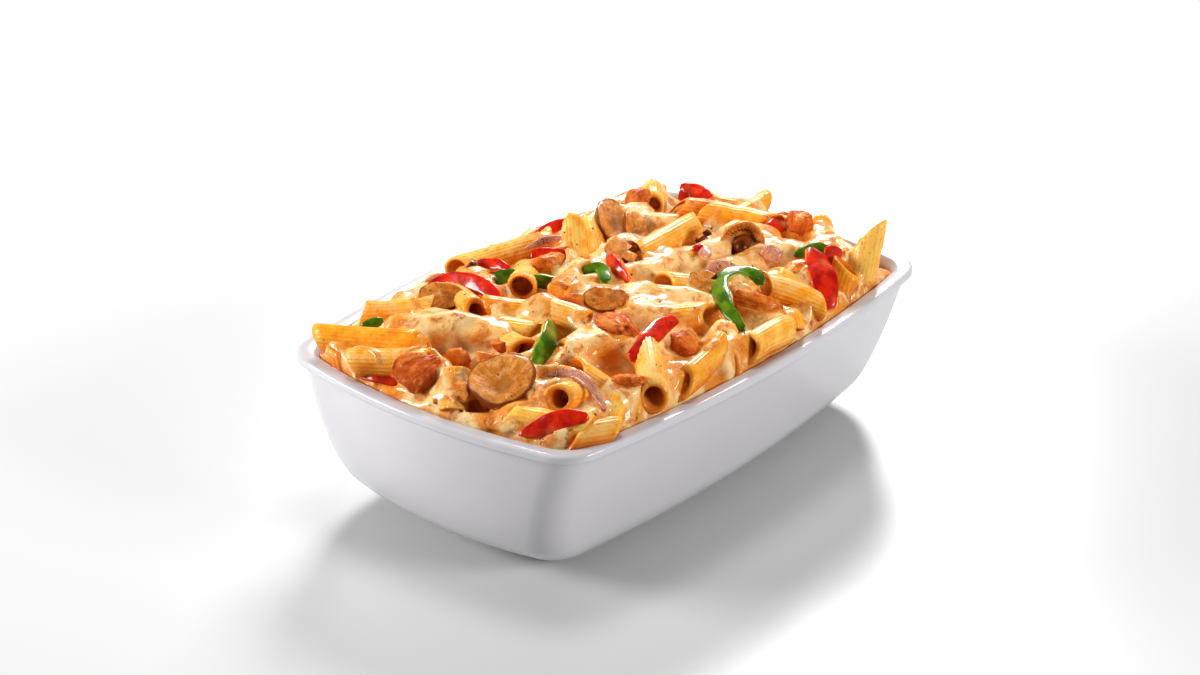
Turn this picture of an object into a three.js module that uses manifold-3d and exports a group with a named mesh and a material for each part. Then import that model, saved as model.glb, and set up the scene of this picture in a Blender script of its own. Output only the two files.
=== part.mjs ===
// Baked penne with peppers, mushroom, chicken and red onion, in its white rectangular baking dish.
// Units are millimetres, +Z up. The origin is the middle of the dish's underside, +X runs along the dish.
import * as THREE from 'three';
import { mergeVertices } from 'three/addons/utils/BufferGeometryUtils.js';
import Module from 'manifold-3d';

const wasm = await Module();
wasm.setup();

// ---------------------------------------------------------------- driving dimensions

// A rounded rectangle whose sides bow out: half sizes at the middles of the sides, the corner
// radius, and how far the end and the long sides bow.
const LIP_OUTLINE = { halfLength: 112.5, halfWidth: 74.9, corner: 15.8, endBow: 5.9, sideBow: 7.5 };
const BASE_CORNER = 14.5;
const BASE_END_BOW = 4.3;
const BASE_SIDE_BOW = 5.1;

const DISH = {
  height: 59.4,
  lipHeight: 3.4,
  lipOverhang: 1.95,
  rimWidth: 6.4,
  wall: 4.4,
  floor: 5.0,
  endTaper: 22.0,
  sideTaper: 21.4,
  endCurve: 3.3,
  sideCurve: 0.94,
  footRadius: 14.6,
};

// How many straight pieces an outline's corners, ends and long sides are drawn with.
const DISH_STEPS = { corner: 3, end: 4, side: 6 };
const CORE_STEPS = { corner: 2, end: 2, side: 4 };

const GAP = 0.3;

const HEAP = {
  edgeRise: 5.5,
  domeRise: 7.0,
  spanX: 104,
  spanY: 68,
  steepness: 2.5,
  farDrop: 4.5,
  farSteepness: 3,
  coreDrop: 4.2,
  rimDrop: 3.0,
};
// The far right corner is filled lower than the rest.
const DENT = { x: 99, y: -48, radius: 17, depth: 9 };

const PENNE = { radius: 5.2, slant: 0.8, sides: 6 };
const STRIP_STEP_LENGTH = 9;
const CHUNK_AROUND = 7;
const CHUNK_STACK = 5;
const CHUNK_BLUNTNESS = 0.62;

const COLOUR = {
  ceramic: 0xf2f1ee,
  pasta: 0xf0b95a,
  redPepper: 0xc8210f,
  greenPepper: 0x4f7f12,
  mushroom: 0xa8754a,
  chicken: 0xc98142,
  onion: 0xb0606a,
};

// Directions as seen by someone in front of the dish's near corner.
const UP = [0, 0, 1];
const DOWN = [0, 0, -1];
const NEAR = [-0.78, -0.63, 0];
const FAR = [0.78, 0.63, 0];
const LEFT = [-0.63, 0.77, 0];
const NEAR_UP = [-0.6, -0.5, 0.62];

// ---------------------------------------------------------------- solids in general

function solidOf(geometry) {
  const bare = geometry.index ? geometry.clone() : geometry;
  bare.deleteAttribute('normal');
  bare.deleteAttribute('uv');
  const merged = mergeVertices(bare, 1e-4);
  return new wasm.Manifold(new wasm.Mesh({
    numProp: 3,
    vertProperties: new Float32Array(merged.attributes.position.array),
    triVerts: new Uint32Array(merged.index.array),
  }));
}

function geometryOf(solid) {
  const mesh = solid.getMesh();
  const points = [];
  for (let i = 0; i < mesh.vertProperties.length; i += mesh.numProp) {
    points.push(mesh.vertProperties[i], mesh.vertProperties[i + 1], mesh.vertProperties[i + 2]);
  }
  return indexedGeometry(points, Array.from(mesh.triVerts));
}

function indexedGeometry(points, triangles) {
  const geometry = new THREE.BufferGeometry();
  geometry.setAttribute('position', new THREE.Float32BufferAttribute(points, 3));
  geometry.setIndex(triangles);
  return geometry;
}

function volumeOf(points, triangles) {
  let six = 0;
  const corner = (i) => new THREE.Vector3(points[3 * i], points[3 * i + 1], points[3 * i + 2]);
  for (let t = 0; t < triangles.length; t += 3) {
    const a = corner(triangles[t]);
    six += a.dot(corner(triangles[t + 1]).cross(corner(triangles[t + 2])));
  }
  return six / 6;
}

// Keeps the largest closed shell, so that a cut leaves no crumbs behind.
function largestShell(geometry) {
  const points = Array.from(geometry.attributes.position.array);
  const triangles = Array.from(geometry.index.array);
  const parent = points.map((_, i) => i);
  const find = (i) => {
    let root = i;
    while (parent[root] !== root) root = parent[root];
    parent[i] = root;
    return root;
  };
  for (let t = 0; t < triangles.length; t += 3) {
    parent[find(triangles[t])] = find(triangles[t + 1]);
    parent[find(triangles[t + 1])] = find(triangles[t + 2]);
  }
  const shells = new Map();
  for (let t = 0; t < triangles.length; t += 3) {
    const root = find(triangles[t]);
    if (!shells.has(root)) shells.set(root, []);
    shells.get(root).push(triangles[t], triangles[t + 1], triangles[t + 2]);
  }
  const ranked = [...shells.values()].sort((a, b) => volumeOf(points, b) - volumeOf(points, a));
  return mergeVertices(indexedGeometry(points, ranked[0]).toNonIndexed(), 1e-5);
}

// A closed solid through equal rings of points, with a flat or pointed fan at both ends.
function loft(rings) {
  const around = rings[0].length;
  const points = rings.flat(2);
  const triangles = [];
  for (let r = 0; r + 1 < rings.length; r += 1) {
    for (let i = 0; i < around; i += 1) {
      const a = r * around + i;
      const b = r * around + ((i + 1) % around);
      triangles.push(a, b, b + around, a, b + around, a + around);
    }
  }
  const fan = (ring, first, flip) => {
    const hub = points.length / 3;
    for (let k = 0; k < 3; k += 1) {
      points.push(ring.reduce((sum, p) => sum + p[k], 0) / around);
    }
    for (let i = 0; i < around; i += 1) {
      const pair = [first + i, first + ((i + 1) % around)];
      triangles.push(hub, flip ? pair[1] : pair[0], flip ? pair[0] : pair[1]);
    }
  };
  fan(rings[0], 0, true);
  fan(rings[rings.length - 1], (rings.length - 1) * around, false);
  return indexedGeometry(points, triangles);
}

function vector(array) {
  return new THREE.Vector3(...array);
}

// The unit vector closest to `wish` that stands square to `axis`.
function squareTo(axis, wish) {
  const side = vector(wish);
  side.addScaledVector(axis, -side.dot(axis));
  return side.normalize();
}

// ---------------------------------------------------------------- the dish

// Points of a rectangle with bowed sides and round corners, anticlockwise.
function bowedOutline({ halfLength, halfWidth, corner, endBow, sideBow }, drawn) {
  const cornerX = halfLength - corner - endBow;
  const cornerY = halfWidth - corner - sideBow;
  const sides = [
    { angle: 0, half: cornerY, bow: endBow, reach: halfLength - corner },
    { angle: Math.PI / 2, half: cornerX, bow: sideBow, reach: halfWidth - corner },
    { angle: Math.PI, half: cornerY, bow: endBow, reach: halfLength - corner },
    { angle: -Math.PI / 2, half: cornerX, bow: sideBow, reach: halfWidth - corner },
  ];
  const outline = [];
  for (const { angle, half, bow, reach } of sides) {
    const radius = (half * half + bow * bow) / (2 * bow);
    const sweep = Math.asin(half / radius);
    const centre = reach - radius;
    const steps = half > cornerY ? drawn.side : drawn.end;
    for (let i = 0; i <= steps; i += 1) {
      const turn = sweep * (2 * i / steps - 1);
      const along = (radius + corner) * Math.sin(turn);
      const out = centre + (radius + corner) * Math.cos(turn);
      outline.push([
        out * Math.cos(angle) - along * Math.sin(angle),
        out * Math.sin(angle) + along * Math.cos(angle),
      ]);
    }
    const endSweep = angle + sweep;
    const nextHalf = half === cornerY ? cornerX : cornerY;
    const nextBow = half === cornerY ? sideBow : endBow;
    const nextRadius = (nextHalf * nextHalf + nextBow * nextBow) / (2 * nextBow);
    const nextSweep = angle + Math.PI / 2 - Math.asin(nextHalf / nextRadius);
    const hub = [
      reach - bow,
      half,
    ];
    const hubX = hub[0] * Math.cos(angle) - hub[1] * Math.sin(angle);
    const hubY = hub[0] * Math.sin(angle) + hub[1] * Math.cos(angle);
    for (let i = 1; i < drawn.corner; i += 1) {
      const turn = endSweep + (nextSweep - endSweep) * i / drawn.corner;
      outline.push([hubX + corner * Math.cos(turn), hubY + corner * Math.sin(turn)]);
    }
  }
  return outline;
}

function ring(outline, z) {
  return outline.map(([x, y]) => [x, y, z]);
}

// The lip's outline moved in by the same distance all round.
function lipInset(inset) {
  return bowedOutline({
    ...LIP_OUTLINE,
    halfLength: LIP_OUTLINE.halfLength - inset,
    halfWidth: LIP_OUTLINE.halfWidth - inset,
    corner: LIP_OUTLINE.corner - inset * 0.7,
  }, DISH_STEPS);
}

// The wall's outline at height z below the rim (z negative), moved in by `inset`.
function wallOutline(z, inset, drawn = DISH_STEPS) {
  const depth = Math.min(Math.max((-DISH.lipHeight - z) / (DISH.height - DISH.lipHeight), 0), 1);
  const rise = z + DISH.height;
  const roundness = Math.max(DISH.footRadius - rise, 0);
  const foot = DISH.footRadius - Math.sqrt(DISH.footRadius ** 2 - roundness ** 2);
  const insetX = DISH.lipOverhang + (DISH.endTaper - DISH.lipOverhang) * depth ** DISH.endCurve;
  const insetY = DISH.lipOverhang + (DISH.sideTaper - DISH.lipOverhang) * depth ** DISH.sideCurve;
  const mix = (top, base) => top + (base - top) * depth;
  return bowedOutline({
    halfLength: LIP_OUTLINE.halfLength - insetX - foot - inset,
    halfWidth: LIP_OUTLINE.halfWidth - insetY - foot - inset,
    corner: Math.max(mix(LIP_OUTLINE.corner, BASE_CORNER) - foot * 0.5 - inset * 0.6, 3.5),
    endBow: mix(LIP_OUTLINE.endBow, BASE_END_BOW),
    sideBow: mix(LIP_OUTLINE.sideBow, BASE_SIDE_BOW),
  }, drawn);
}

// Heights at which the wall is drawn, from the lip down to the flat base.
function wallHeights() {
  const straight = [0, 0.4, 0.75, 1].map((t) => {
    const top = -DISH.lipHeight - 1;
    const bottom = -DISH.height + DISH.footRadius;
    return top + (bottom - top) * t;
  });
  const curved = [0.5, 1, Math.PI / 2].map(
    (turn) => -DISH.height + DISH.footRadius * (1 - Math.sin(turn)),
  );
  return [...straight, ...curved];
}

// The inner wall stands one wall thickness in, and its foot is lifted by the floor.
function innerRings(inset, floorLift, topZ, drawn = DISH_STEPS) {
  const bottom = -DISH.height + floorLift;
  return wallHeights().map((z) => {
    const share = (z - wallHeights()[0]) / (-DISH.height - wallHeights()[0]);
    const height = topZ + (bottom - topZ) * share;
    const level = Math.max(height - floorLift * share, -DISH.height);
    return ring(wallOutline(level, inset, drawn), height);
  });
}

// The dish, made bigger by `grow` where the food must keep clear of it.
function buildDish(grow) {
  const outside = [
    ring(lipInset(DISH.rimWidth - 0.9 + grow), -0.35 + grow),
    ring(lipInset(0.9), grow),
    ring(lipInset(-grow), -0.8),
    ring(lipInset(-grow), -DISH.lipHeight + 0.6),
    ring(lipInset(0.8 - grow), -DISH.lipHeight),
    ...wallHeights().map((z) => ring(wallOutline(z, -grow), z)),
  ];
  const inside = innerRings(DISH.wall + grow, DISH.floor + grow, -1.3);
  return loft([...outside.reverse(), ...inside]);
}

// ---------------------------------------------------------------- the heap of pasta

// Height above the rim at which the top layer's tubes lie. The far sides are filled lower.
function layerHeight(x, y) {
  const edge = Math.max(Math.abs(x) / HEAP.spanX, Math.abs(y) / HEAP.spanY);
  const far = Math.min(Math.max(x / HEAP.spanX, y / HEAP.spanY, 0), 1);
  const dome = HEAP.domeRise * (1 - Math.min(edge, 1) ** HEAP.steepness);
  return HEAP.edgeRise + dome - HEAP.farDrop * far ** HEAP.farSteepness;
}

function placed([x, y, lift]) {
  return new THREE.Vector3(x, y, layerHeight(x, y) + lift);
}

function coreHeight(x, y) {
  const dent = Math.hypot(x - DENT.x, y - DENT.y) / DENT.radius;
  return layerHeight(x, y) - HEAP.coreDrop - DENT.depth * Math.max(1 - dent * dent, 0);
}

function buildCore() {
  const below = innerRings(DISH.wall - 2, DISH.floor - 1, -1.6, CORE_STEPS);
  const edge = below[0];
  const domes = [0.91, 0.5].map((share) => edge.map(([x, y]) => {
    const inner = [x * share, y * share];
    return [...inner, Math.max(coreHeight(...inner), -HEAP.rimDrop - 6)];
  }));
  return solidOf(loft([...below.reverse(), ...domes]));
}

// One quill: a tube cut slantwise and parallel at both ends. `tip` is the side on which the far
// end reaches out.
function buildQuill([from, to, tip, slant = PENNE.slant]) {
  const start = placed(from);
  const end = placed(to);
  const axis = end.clone().sub(start).normalize();
  const side = squareTo(axis, tip);
  const across = new THREE.Vector3().crossVectors(axis, side);
  const section = (centre) => {
    const points = [];
    for (let i = 0; i < PENNE.sides; i += 1) {
      const turn = 2 * Math.PI * i / PENNE.sides;
      const reach = PENNE.radius * Math.cos(turn);
      const point = centre.clone();
      point.addScaledVector(side, reach);
      point.addScaledVector(across, PENNE.radius * Math.sin(turn));
      point.addScaledVector(axis, slant * reach);
      points.push(point.toArray());
    }
    return points;
  };
  return solidOf(loft([section(start), section(end)]));
}

// Each quill runs from one point to another: x, y and the lift over the layer's height. Then comes
// the side of the far end's tip and, where it isn't the usual one, the slant of the cut.
const QUILLS = [
  [[-95.5, 56, 0], [-84, 18.5, 0.5], DOWN, 0.5],
  [[-96, 46, -1], [-100, 37, -14], UP],
  [[-102.5, 33, -0.5], [-90, 8, 0], DOWN, 0.5],
  [[-76, 55.5, 0.5], [-62, 36, 0], UP, 0.5],
  [[-82, 37, 0.5], [-72, 16, 1], UP, 0.5],
  [[-68.5, 14, 0], [-54, -10, -0.5], FAR],
  [[-92, -5, 2], [-102.5, -13, -5], UP, 0.3],
  [[-98, -32, -3.5], [-89, -57, -5], UP],
  [[-94, -34.5, -2], [-70, -38, -5], UP],
  [[-86, -45, 1], [-66, -40, -8], [0, -1, 0.3], 0.25],
  [[-94, -56, -6], [-82, -63, -6], UP],
  [[-69, -38, 1], [-65, -58, -6], [-0.85, -0.3, 0.4], 1.1],
  [[-61, -65, 0], [-40, -45, 1], UP, 0.45],
  [[-45, -65, -1], [-22, -61.5, 1], UP, 1],
  [[-20, -65, -3.5], [-9, -57, -2], UP],
  [[-9, -66, -0.5], [12, -66.5, -1], UP, 0.5],
  [[22, -59, -1], [16, -66.5, -2.5], UP],
  [[28, -47, 1], [35, -65, -0.5], NEAR],
  [[57, -61, -11], [65, -57.5, 2], [0.1, 1, 0]],
  [[69, -59, -13], [78, -57.5, 10.5], [0.15, -0.97, 0], 1.5],
  [[89, -32, -3], [98, -23, 2], UP, 0.5],
  [[83, -37, -0.5], [77, -55, -2], UP],
  [[75, 9, -3], [97, 6, 3.5], UP, 1],
  [[93, 34, -0.5], [96, 13, 0.5], UP],
  [[73.5, 12, 1], [82, -11, 1], FAR],
  [[68, 25, 0.5], [78, 13, 0], UP],
  [[63.5, 33, 0.5], [82, 48, 0], UP],
  [[18, 23, -8], [35, 43, 4], FAR, 1.2],
  [[-4, 15, -10], [7, 26, 5], NEAR, 1.7],
  [[-21, 60, 0], [8, 41, 0.5], [-0.5, -0.8, 0.3]],
  [[-64, 46, -4], [-46, 48, -3], UP],
  [[-56.5, 18, 0.5], [-44, 44, -1], UP, 0.6],
  [[-52.5, 15, 1.5], [-40, -8, 1], DOWN, 0.5],
  [[-44, 1, 2.5], [-42, -19, 1], UP, 0.4],
  [[-32, 18, 1], [-12, 33, -3], LEFT, 0.6],
  [[20, 3.5, 0.5], [59, 7, 1.5], [0, 0.8, -0.6], 1.3],
  [[42, 31, -1], [50, 15, 0], UP],
  [[37, -41, 0], [45, -53, -4], UP],
  [[-4.5, -46.5, 0.5], [-24, -25, -3.5], [-0.6, -0.55, 0.4], 0.9],
  [[4, -19, 0], [19, -39, -0.5], [-0.8, -0.6, 0.3]],
  [[-10, -17, -1.5], [3, -34, -2.5], UP],
  [[-82, -61, -7], [-67, -55, -5], UP],
  [[-63, -26, 1], [-45, -38, 0], UP, 0.5],
  [[-66.5, -14.5, 0], [-60, 3, -2.5], NEAR],
  [[-6, 58, -2.5], [16, 50, -2], UP],
  [[56, 50, -2], [73, 40, -2], UP],
  [[-34, -6, -3.5], [-12, -18, -3], UP],
  [[-14, 10, -4], [10, -8, -3.5], UP],
  [[20, -4, -3.5], [44, -14, -2.5], UP],
  [[58, -4, -2], [66, -34, -3], UP],
  [[30, -24, -4], [56, -28, -4], UP],
  [[20, 60, -4], [50, 57, -5], UP],
  [[-56, 58, -4], [-28, 62, -5], UP],
  [[66, 60, -5], [92, 54, -5], UP],
  [[86, -2, -2], [100, -20, -5], UP],
];

// ---------------------------------------------------------------- toppings

// A strip of pepper or onion: a band swept along a smooth path through the given points, its skin
// turned to `face`. `grow` widens it all round, for the hollow that it lies in.
function buildStrip({ path, width, thick, face }, grow) {
  const curve = new THREE.CatmullRomCurve3(path.map(placed), false, 'centripetal');
  const steps = Math.max(Math.round(curve.getLength() / STRIP_STEP_LENGTH), 2);
  const rings = [];
  for (let i = 0; i <= steps; i += 1) {
    const share = i / steps;
    const tangent = curve.getTangentAt(share);
    const skin = squareTo(tangent, face);
    const across = new THREE.Vector3().crossVectors(skin, tangent);
    const taper = 1 - 0.45 * Math.abs(2 * share - 1) ** 3;
    const halfWidth = width * taper / 2 + grow;
    const halfThick = thick / 2 + grow;
    const centre = curve.getPointAt(share);
    if (i === 0) centre.addScaledVector(tangent, -grow);
    if (i === steps) centre.addScaledVector(tangent, grow);
    const bulge = [[1, 0], [0.55, 1], [-0.55, 1], [-1, 0], [-0.6, -0.9], [0.6, -0.9]];
    rings.push(bulge.map(([w, n]) => centre.clone()
      .addScaledVector(across, w * halfWidth)
      .addScaledVector(skin, n * halfThick)
      .toArray()));
  }
  return solidOf(loft(rings));
}

// A torn chunk of chicken: a blunt block, uneven all round. `seed` changes its lumps.
function buildChunk({ at, size, yaw, pitch = 0, seed }, grow) {
  const sphere = new THREE.SphereGeometry(1, CHUNK_AROUND, CHUNK_STACK);
  const position = sphere.attributes.position;
  const blunt = (v) => Math.sign(v) * Math.abs(v) ** CHUNK_BLUNTNESS;
  for (let i = 0; i < position.count; i += 1) {
    const unit = new THREE.Vector3().fromBufferAttribute(position, i);
    const lump = 1 + 0.1 * Math.sin(3.1 * unit.x + seed) * Math.cos(2.7 * unit.y + 2 * seed);
    position.setXYZ(
      i,
      blunt(unit.x) * (size[0] / 2 * 0.8 + grow) * lump,
      blunt(unit.z) * (size[1] / 2 * 0.8 + grow) * lump,
      -blunt(unit.y) * (size[2] / 2 * 0.8 + grow) * lump,
    );
  }
  const turn = new THREE.Matrix4().makeRotationFromEuler(new THREE.Euler(
    0,
    -THREE.MathUtils.degToRad(pitch),
    THREE.MathUtils.degToRad(yaw),
    'ZYX',
  ));
  sphere.applyMatrix4(turn.setPosition(placed(at)));
  return solidOf(sphere);
}

// A slice of mushroom, from the foot of its stem to the top of its cap, its cut face turned to
// `face`. `stem` is the share of its length below the cap. At 0 it is an oval slice of the cap.
function buildSlice({ from, to, width, thick, face, stem = 0.45 }, grow) {
  const foot = placed(from);
  const top = placed(to);
  const axis = top.clone().sub(foot);
  const length = axis.length();
  axis.normalize();
  const normal = squareTo(axis, face);
  const across = new THREE.Vector3().crossVectors(normal, axis);
  const brim = length * stem - 2.2 * grow;
  const cap = length - brim + grow;
  const half = width / 2 + grow;
  const stalk = width * 0.19 + grow;
  const outline = [];
  if (stem === 0) {
    const middle = length / 2;
    for (let i = 0; i < 10; i += 1) {
      const turn = 2 * Math.PI * i / 10;
      outline.push(new THREE.Vector2(middle + (middle + grow) * Math.cos(turn), half * Math.sin(turn)));
    }
  } else {
    outline.push(new THREE.Vector2(-grow, -stalk), new THREE.Vector2(brim, -stalk));
    for (let i = 0; i <= 8; i += 1) {
      const turn = -0.55 * Math.PI + 1.1 * Math.PI * i / 8;
      outline.push(new THREE.Vector2(brim + cap * Math.cos(turn), half * Math.sin(turn)));
    }
    outline.push(new THREE.Vector2(brim, stalk), new THREE.Vector2(-grow, stalk));
  }
  const geometry = new THREE.ExtrudeGeometry(new THREE.Shape(outline), {
    depth: thick + 2 * grow,
    bevelEnabled: false,
  });
  const start = foot.clone().addScaledVector(normal, -thick / 2 - grow);
  geometry.applyMatrix4(new THREE.Matrix4().makeBasis(axis, across, normal).setPosition(start));
  return solidOf(geometry);
}

// A mushroom cap with its gills and its cut stem turned to `face`.
function buildCap({ at, radius, height, face }, grow) {
  const profile = [
    [0, height * 0.95 + grow],
    [radius * 0.55, height * 0.8 + grow],
    [radius * 0.92 + grow, height * 0.4],
    [radius + grow, 0],
    [radius * 0.85, -height * 0.12 - grow],
    [radius * 0.34, height * 0.05 - grow],
    [radius * 0.3, -height * 0.35 - grow],
    [0, -height * 0.35 - grow],
  ];
  const lathe = new THREE.LatheGeometry(profile.map(([r, h]) => new THREE.Vector2(r, -h)), 12);
  const direction = vector(face).normalize();
  const turn = new THREE.Quaternion().setFromUnitVectors(new THREE.Vector3(0, 1, 0), direction);
  lathe.applyMatrix4(new THREE.Matrix4().compose(placed(at), turn, new THREE.Vector3(1, 1, 1)));
  return solidOf(lathe);
}

// A strip's path and a slice's ends are x, y and the lift over the layer's height.
const RED_PEPPERS = [
  {
    path: [[-102, -41.5, -5], [-97.5, -47, -3], [-93.5, -53, 0], [-89, -60.5, 1]],
    width: 6.5,
    face: NEAR_UP,
  },
  { path: [[-53, -49, 2.5], [-42, -47.5, 5], [-30, -44, 4.5], [-20, -43, 3.5]], width: 6.5, face: NEAR_UP },
  { path: [[61, -46, 4], [54, -52, 4], [48, -59, 1.5], [43, -64.5, -5]], width: 10, face: [-0.5, -0.8, 0.4] },
  { path: [[64, -47.5, 3], [69, -52, 2.5]], width: 7, face: NEAR_UP },
  { path: [[73, -15, 1.5], [81, -14, 2.5], [90, -10, 3]], width: 6.5, face: NEAR_UP },
  { path: [[87, 38, 2], [87, 30, 4], [85, 22, 2.5]], width: 7.5, face: NEAR_UP },
  { path: [[-8, 35, 2], [-4, 29, 1.5], [0, 23, 0.5]], width: 6, face: NEAR_UP },
  { path: [[10, 50, 0], [21, 51, 2], [31, 49, 2.5]], width: 5, face: NEAR_UP },
  { path: [[-20.5, 52, 1], [-20.5, 43, 2], [-20.5, 34, 1]], width: 4.5, face: NEAR_UP },
  {
    path: [[-56, 47, 0], [-47, 45, 3], [-44.5, 36, 4], [-45, 26, 4], [-47, 18, 3], [-52, 14, 1]],
    width: 6.5,
    face: [-0.7, -0.3, 0.6],
  },
  { path: [[6, 10, 2], [0, 0.5, 3.5], [-5.5, -10, 1.5]], width: 5, face: [-0.9, 0.3, 0.4] },
  { path: [[-102, 31, -5.5], [-100.5, 24, -4.5], [-99, 16, -5.5]], width: 5, face: NEAR_UP },
].map((strip) => ({ thick: 2.4, ...strip }));

const GREEN_PEPPERS = [
  { path: [[58, -38, 0.5], [64, -40.5, 1.5], [70, -41.5, 1.5], [74, -47, 0]], width: 5, face: NEAR_UP },
  { path: [[-31, 32, 0.5], [-25, 27, 1]], width: 6, face: NEAR_UP },
  { path: [[-25.5, 19, 1], [-20.5, 10, 0.5]], width: 5, face: NEAR },
  { path: [[-10.5, 8, 2], [-6, 3, 3], [-12, -5, 1.5]], width: 4.5, face: NEAR_UP },
  {
    path: [[25, -48, 3], [27, -41.5, 4.5], [22, -37.5, 5], [14, -37.5, 5], [7, -42, 4.5],
      [0, -50, 4], [-3.5, -57, 3.5], [-5, -62, 2]],
    width: 6,
    face: [-0.5, 0.1, 0.85],
  },
  { path: [[-50, -11, 2.5], [-56, -15.5, 3.5], [-63, -20, 3], [-70, -22.5, 2], [-77, -25, 0.5]],
    width: 6.5, face: [0.1, -0.8, 0.6] },
].map((strip) => ({ thick: 2.4, ...strip }));

const ONIONS = [
  { path: [[-79.5, -31, 1.5], [-75.5, -37.5, 3], [-74.7, -45.5, 3.5], [-76.5, -52, 2], [-79.5, -60, -0.5]],
    width: 3.6 },
  { path: [[-4, 41, 3], [4, 38.5, 3.5], [12, 34, 3]], width: 3 },
  { path: [[37, -9, 2], [30, -20, 2]], width: 4.5 },
  { path: [[21, -25, 2], [28, -33, 2]], width: 7 },
  { path: [[49, -30, 3], [50, -38, 2]], width: 6 },
].map((strip) => ({ thick: 1.8, face: NEAR_UP, ...strip }));

const MUSHROOM_SLICES = [
  { from: [-97, -30.5, -1.5], to: [-84, -18, 7], width: 23, thick: 5, face: [-0.66, -0.45, 0.6], stem: 0 },
  { from: [28, 24, -3], to: [42, 38, 9], width: 12, thick: 3.5, face: [-0.4, -0.7, 0.5], stem: 0 },
  { from: [30, 14, -2], to: [42, 27, 3.5], width: 9, thick: 3.5, face: [-0.4, -0.7, 0.5], stem: 0 },
  { from: [-51, 28, 2], to: [-63, 41, 3], width: 11, thick: 4, face: NEAR_UP, stem: 0 },
  { from: [8, -4, 3], to: [13, 15, 3], width: 9, thick: 3.5, face: [-0.7, -0.2, 0.65] },
  { from: [11, -41, 3], to: [8.5, -27, 4], width: 9, thick: 3.5, face: NEAR_UP },
  { from: [-20, -22, 3], to: [-31, -9, 3.5], width: 9, thick: 4.5, face: NEAR_UP, stem: 0 },
  { from: [-77, -14, 1], to: [-74, -24, 0.5], width: 7, thick: 4, face: NEAR_UP, stem: 0 },
  { from: [-97, -12, -7], to: [-92, -22, -7], width: 8, thick: 4, face: NEAR_UP, stem: 0 },
];

const MUSHROOM_CAPS = [
  { at: [49, -20.5, 2.5], radius: 8.8, height: 8.5, face: [-0.8, -0.55, 0.1] },
];

// A chunk's size is its length, width and height, and yaw turns its length from +X.
const CHICKEN = [
  { at: [-96, 7.5, 1], size: [20, 13, 11], yaw: -8, pitch: 14 },
  { at: [13.5, -55, 2], size: [18, 14, 12], yaw: -80 },
  { at: [85, -22, 2.5], size: [13, 12, 12], yaw: -60 },
  { at: [-12.5, 24, 1], size: [14, 10, 9], yaw: -80 },
  { at: [-25.5, 3.5, 1.5], size: [14, 12, 10], yaw: -75 },
  { at: [49, -47, -0.5], size: [12, 11, 10], yaw: -60 },
  { at: [-40, -32, 3.5], size: [25, 15, 12], yaw: -113 },
  { at: [-29, -54, 0.5], size: [16, 12, 11], yaw: -70 },
  { at: [-63, -55, 1], size: [13, 9, 9], yaw: -100 },
  { at: [-73, -31.5, 0], size: [9, 7, 7], yaw: -30 },
  { at: [58.5, 37, 2.5], size: [12, 9, 8], yaw: -40 },
  { at: [98, -5, 1.5], size: [13, 7, 7], yaw: -85 },
].map((chunk, index) => ({ ...chunk, seed: index * 1.7 }));

const KINDS = [
  { name: 'green_pepper', list: GREEN_PEPPERS, build: buildStrip, colour: COLOUR.greenPepper },
  { name: 'red_pepper', list: RED_PEPPERS, build: buildStrip, colour: COLOUR.redPepper },
  { name: 'onion', list: ONIONS, build: buildStrip, colour: COLOUR.onion },
  { name: 'mushroom', list: MUSHROOM_SLICES, build: buildSlice, colour: COLOUR.mushroom },
  { name: 'mushroom_cap', list: MUSHROOM_CAPS, build: buildCap, colour: COLOUR.mushroom },
  { name: 'chicken', list: CHICKEN, build: buildChunk, colour: COLOUR.chicken },
];

// ---------------------------------------------------------------- the whole

function named(name, geometry, colour, roughness) {
  const material = new THREE.MeshStandardMaterial({ color: colour, roughness, metalness: 0 });
  const mesh = new THREE.Mesh(geometry, material);
  mesh.name = name;
  return mesh;
}

// Every topping is cut back from the dish and from the toppings before it, and the heap from all.
function buildFood() {
  const meshes = [];
  const taken = [solidOf(buildDish(GAP))];
  for (const { name, list, build, colour } of KINDS) {
    list.forEach((item, index) => {
      let solid = build(item, 0);
      for (const other of taken) solid = solid.subtract(other);
      taken.push(build(item, GAP));
      const label = `${name}_${String(index + 1).padStart(2, '0')}`;
      meshes.push(named(label, largestShell(geometryOf(solid)), colour, 0.45));
    });
  }
  let heap = buildCore();
  for (const quill of QUILLS) heap = heap.add(buildQuill(quill));
  for (const hollow of taken) heap = heap.subtract(hollow);
  meshes.push(named('pasta_heap', largestShell(geometryOf(heap)), COLOUR.pasta, 0.5));
  return meshes;
}

const model = new THREE.Group();
const table = new THREE.Group();
table.position.z = DISH.height;
table.add(named('dish', buildDish(0), COLOUR.ceramic, 0.12));
buildFood().forEach((mesh) => table.add(mesh));
model.add(table);

export default model;
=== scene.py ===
import math

import bpy
import numpy as np
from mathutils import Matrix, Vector
from mathutils.bvhtree import BVHTree


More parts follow.
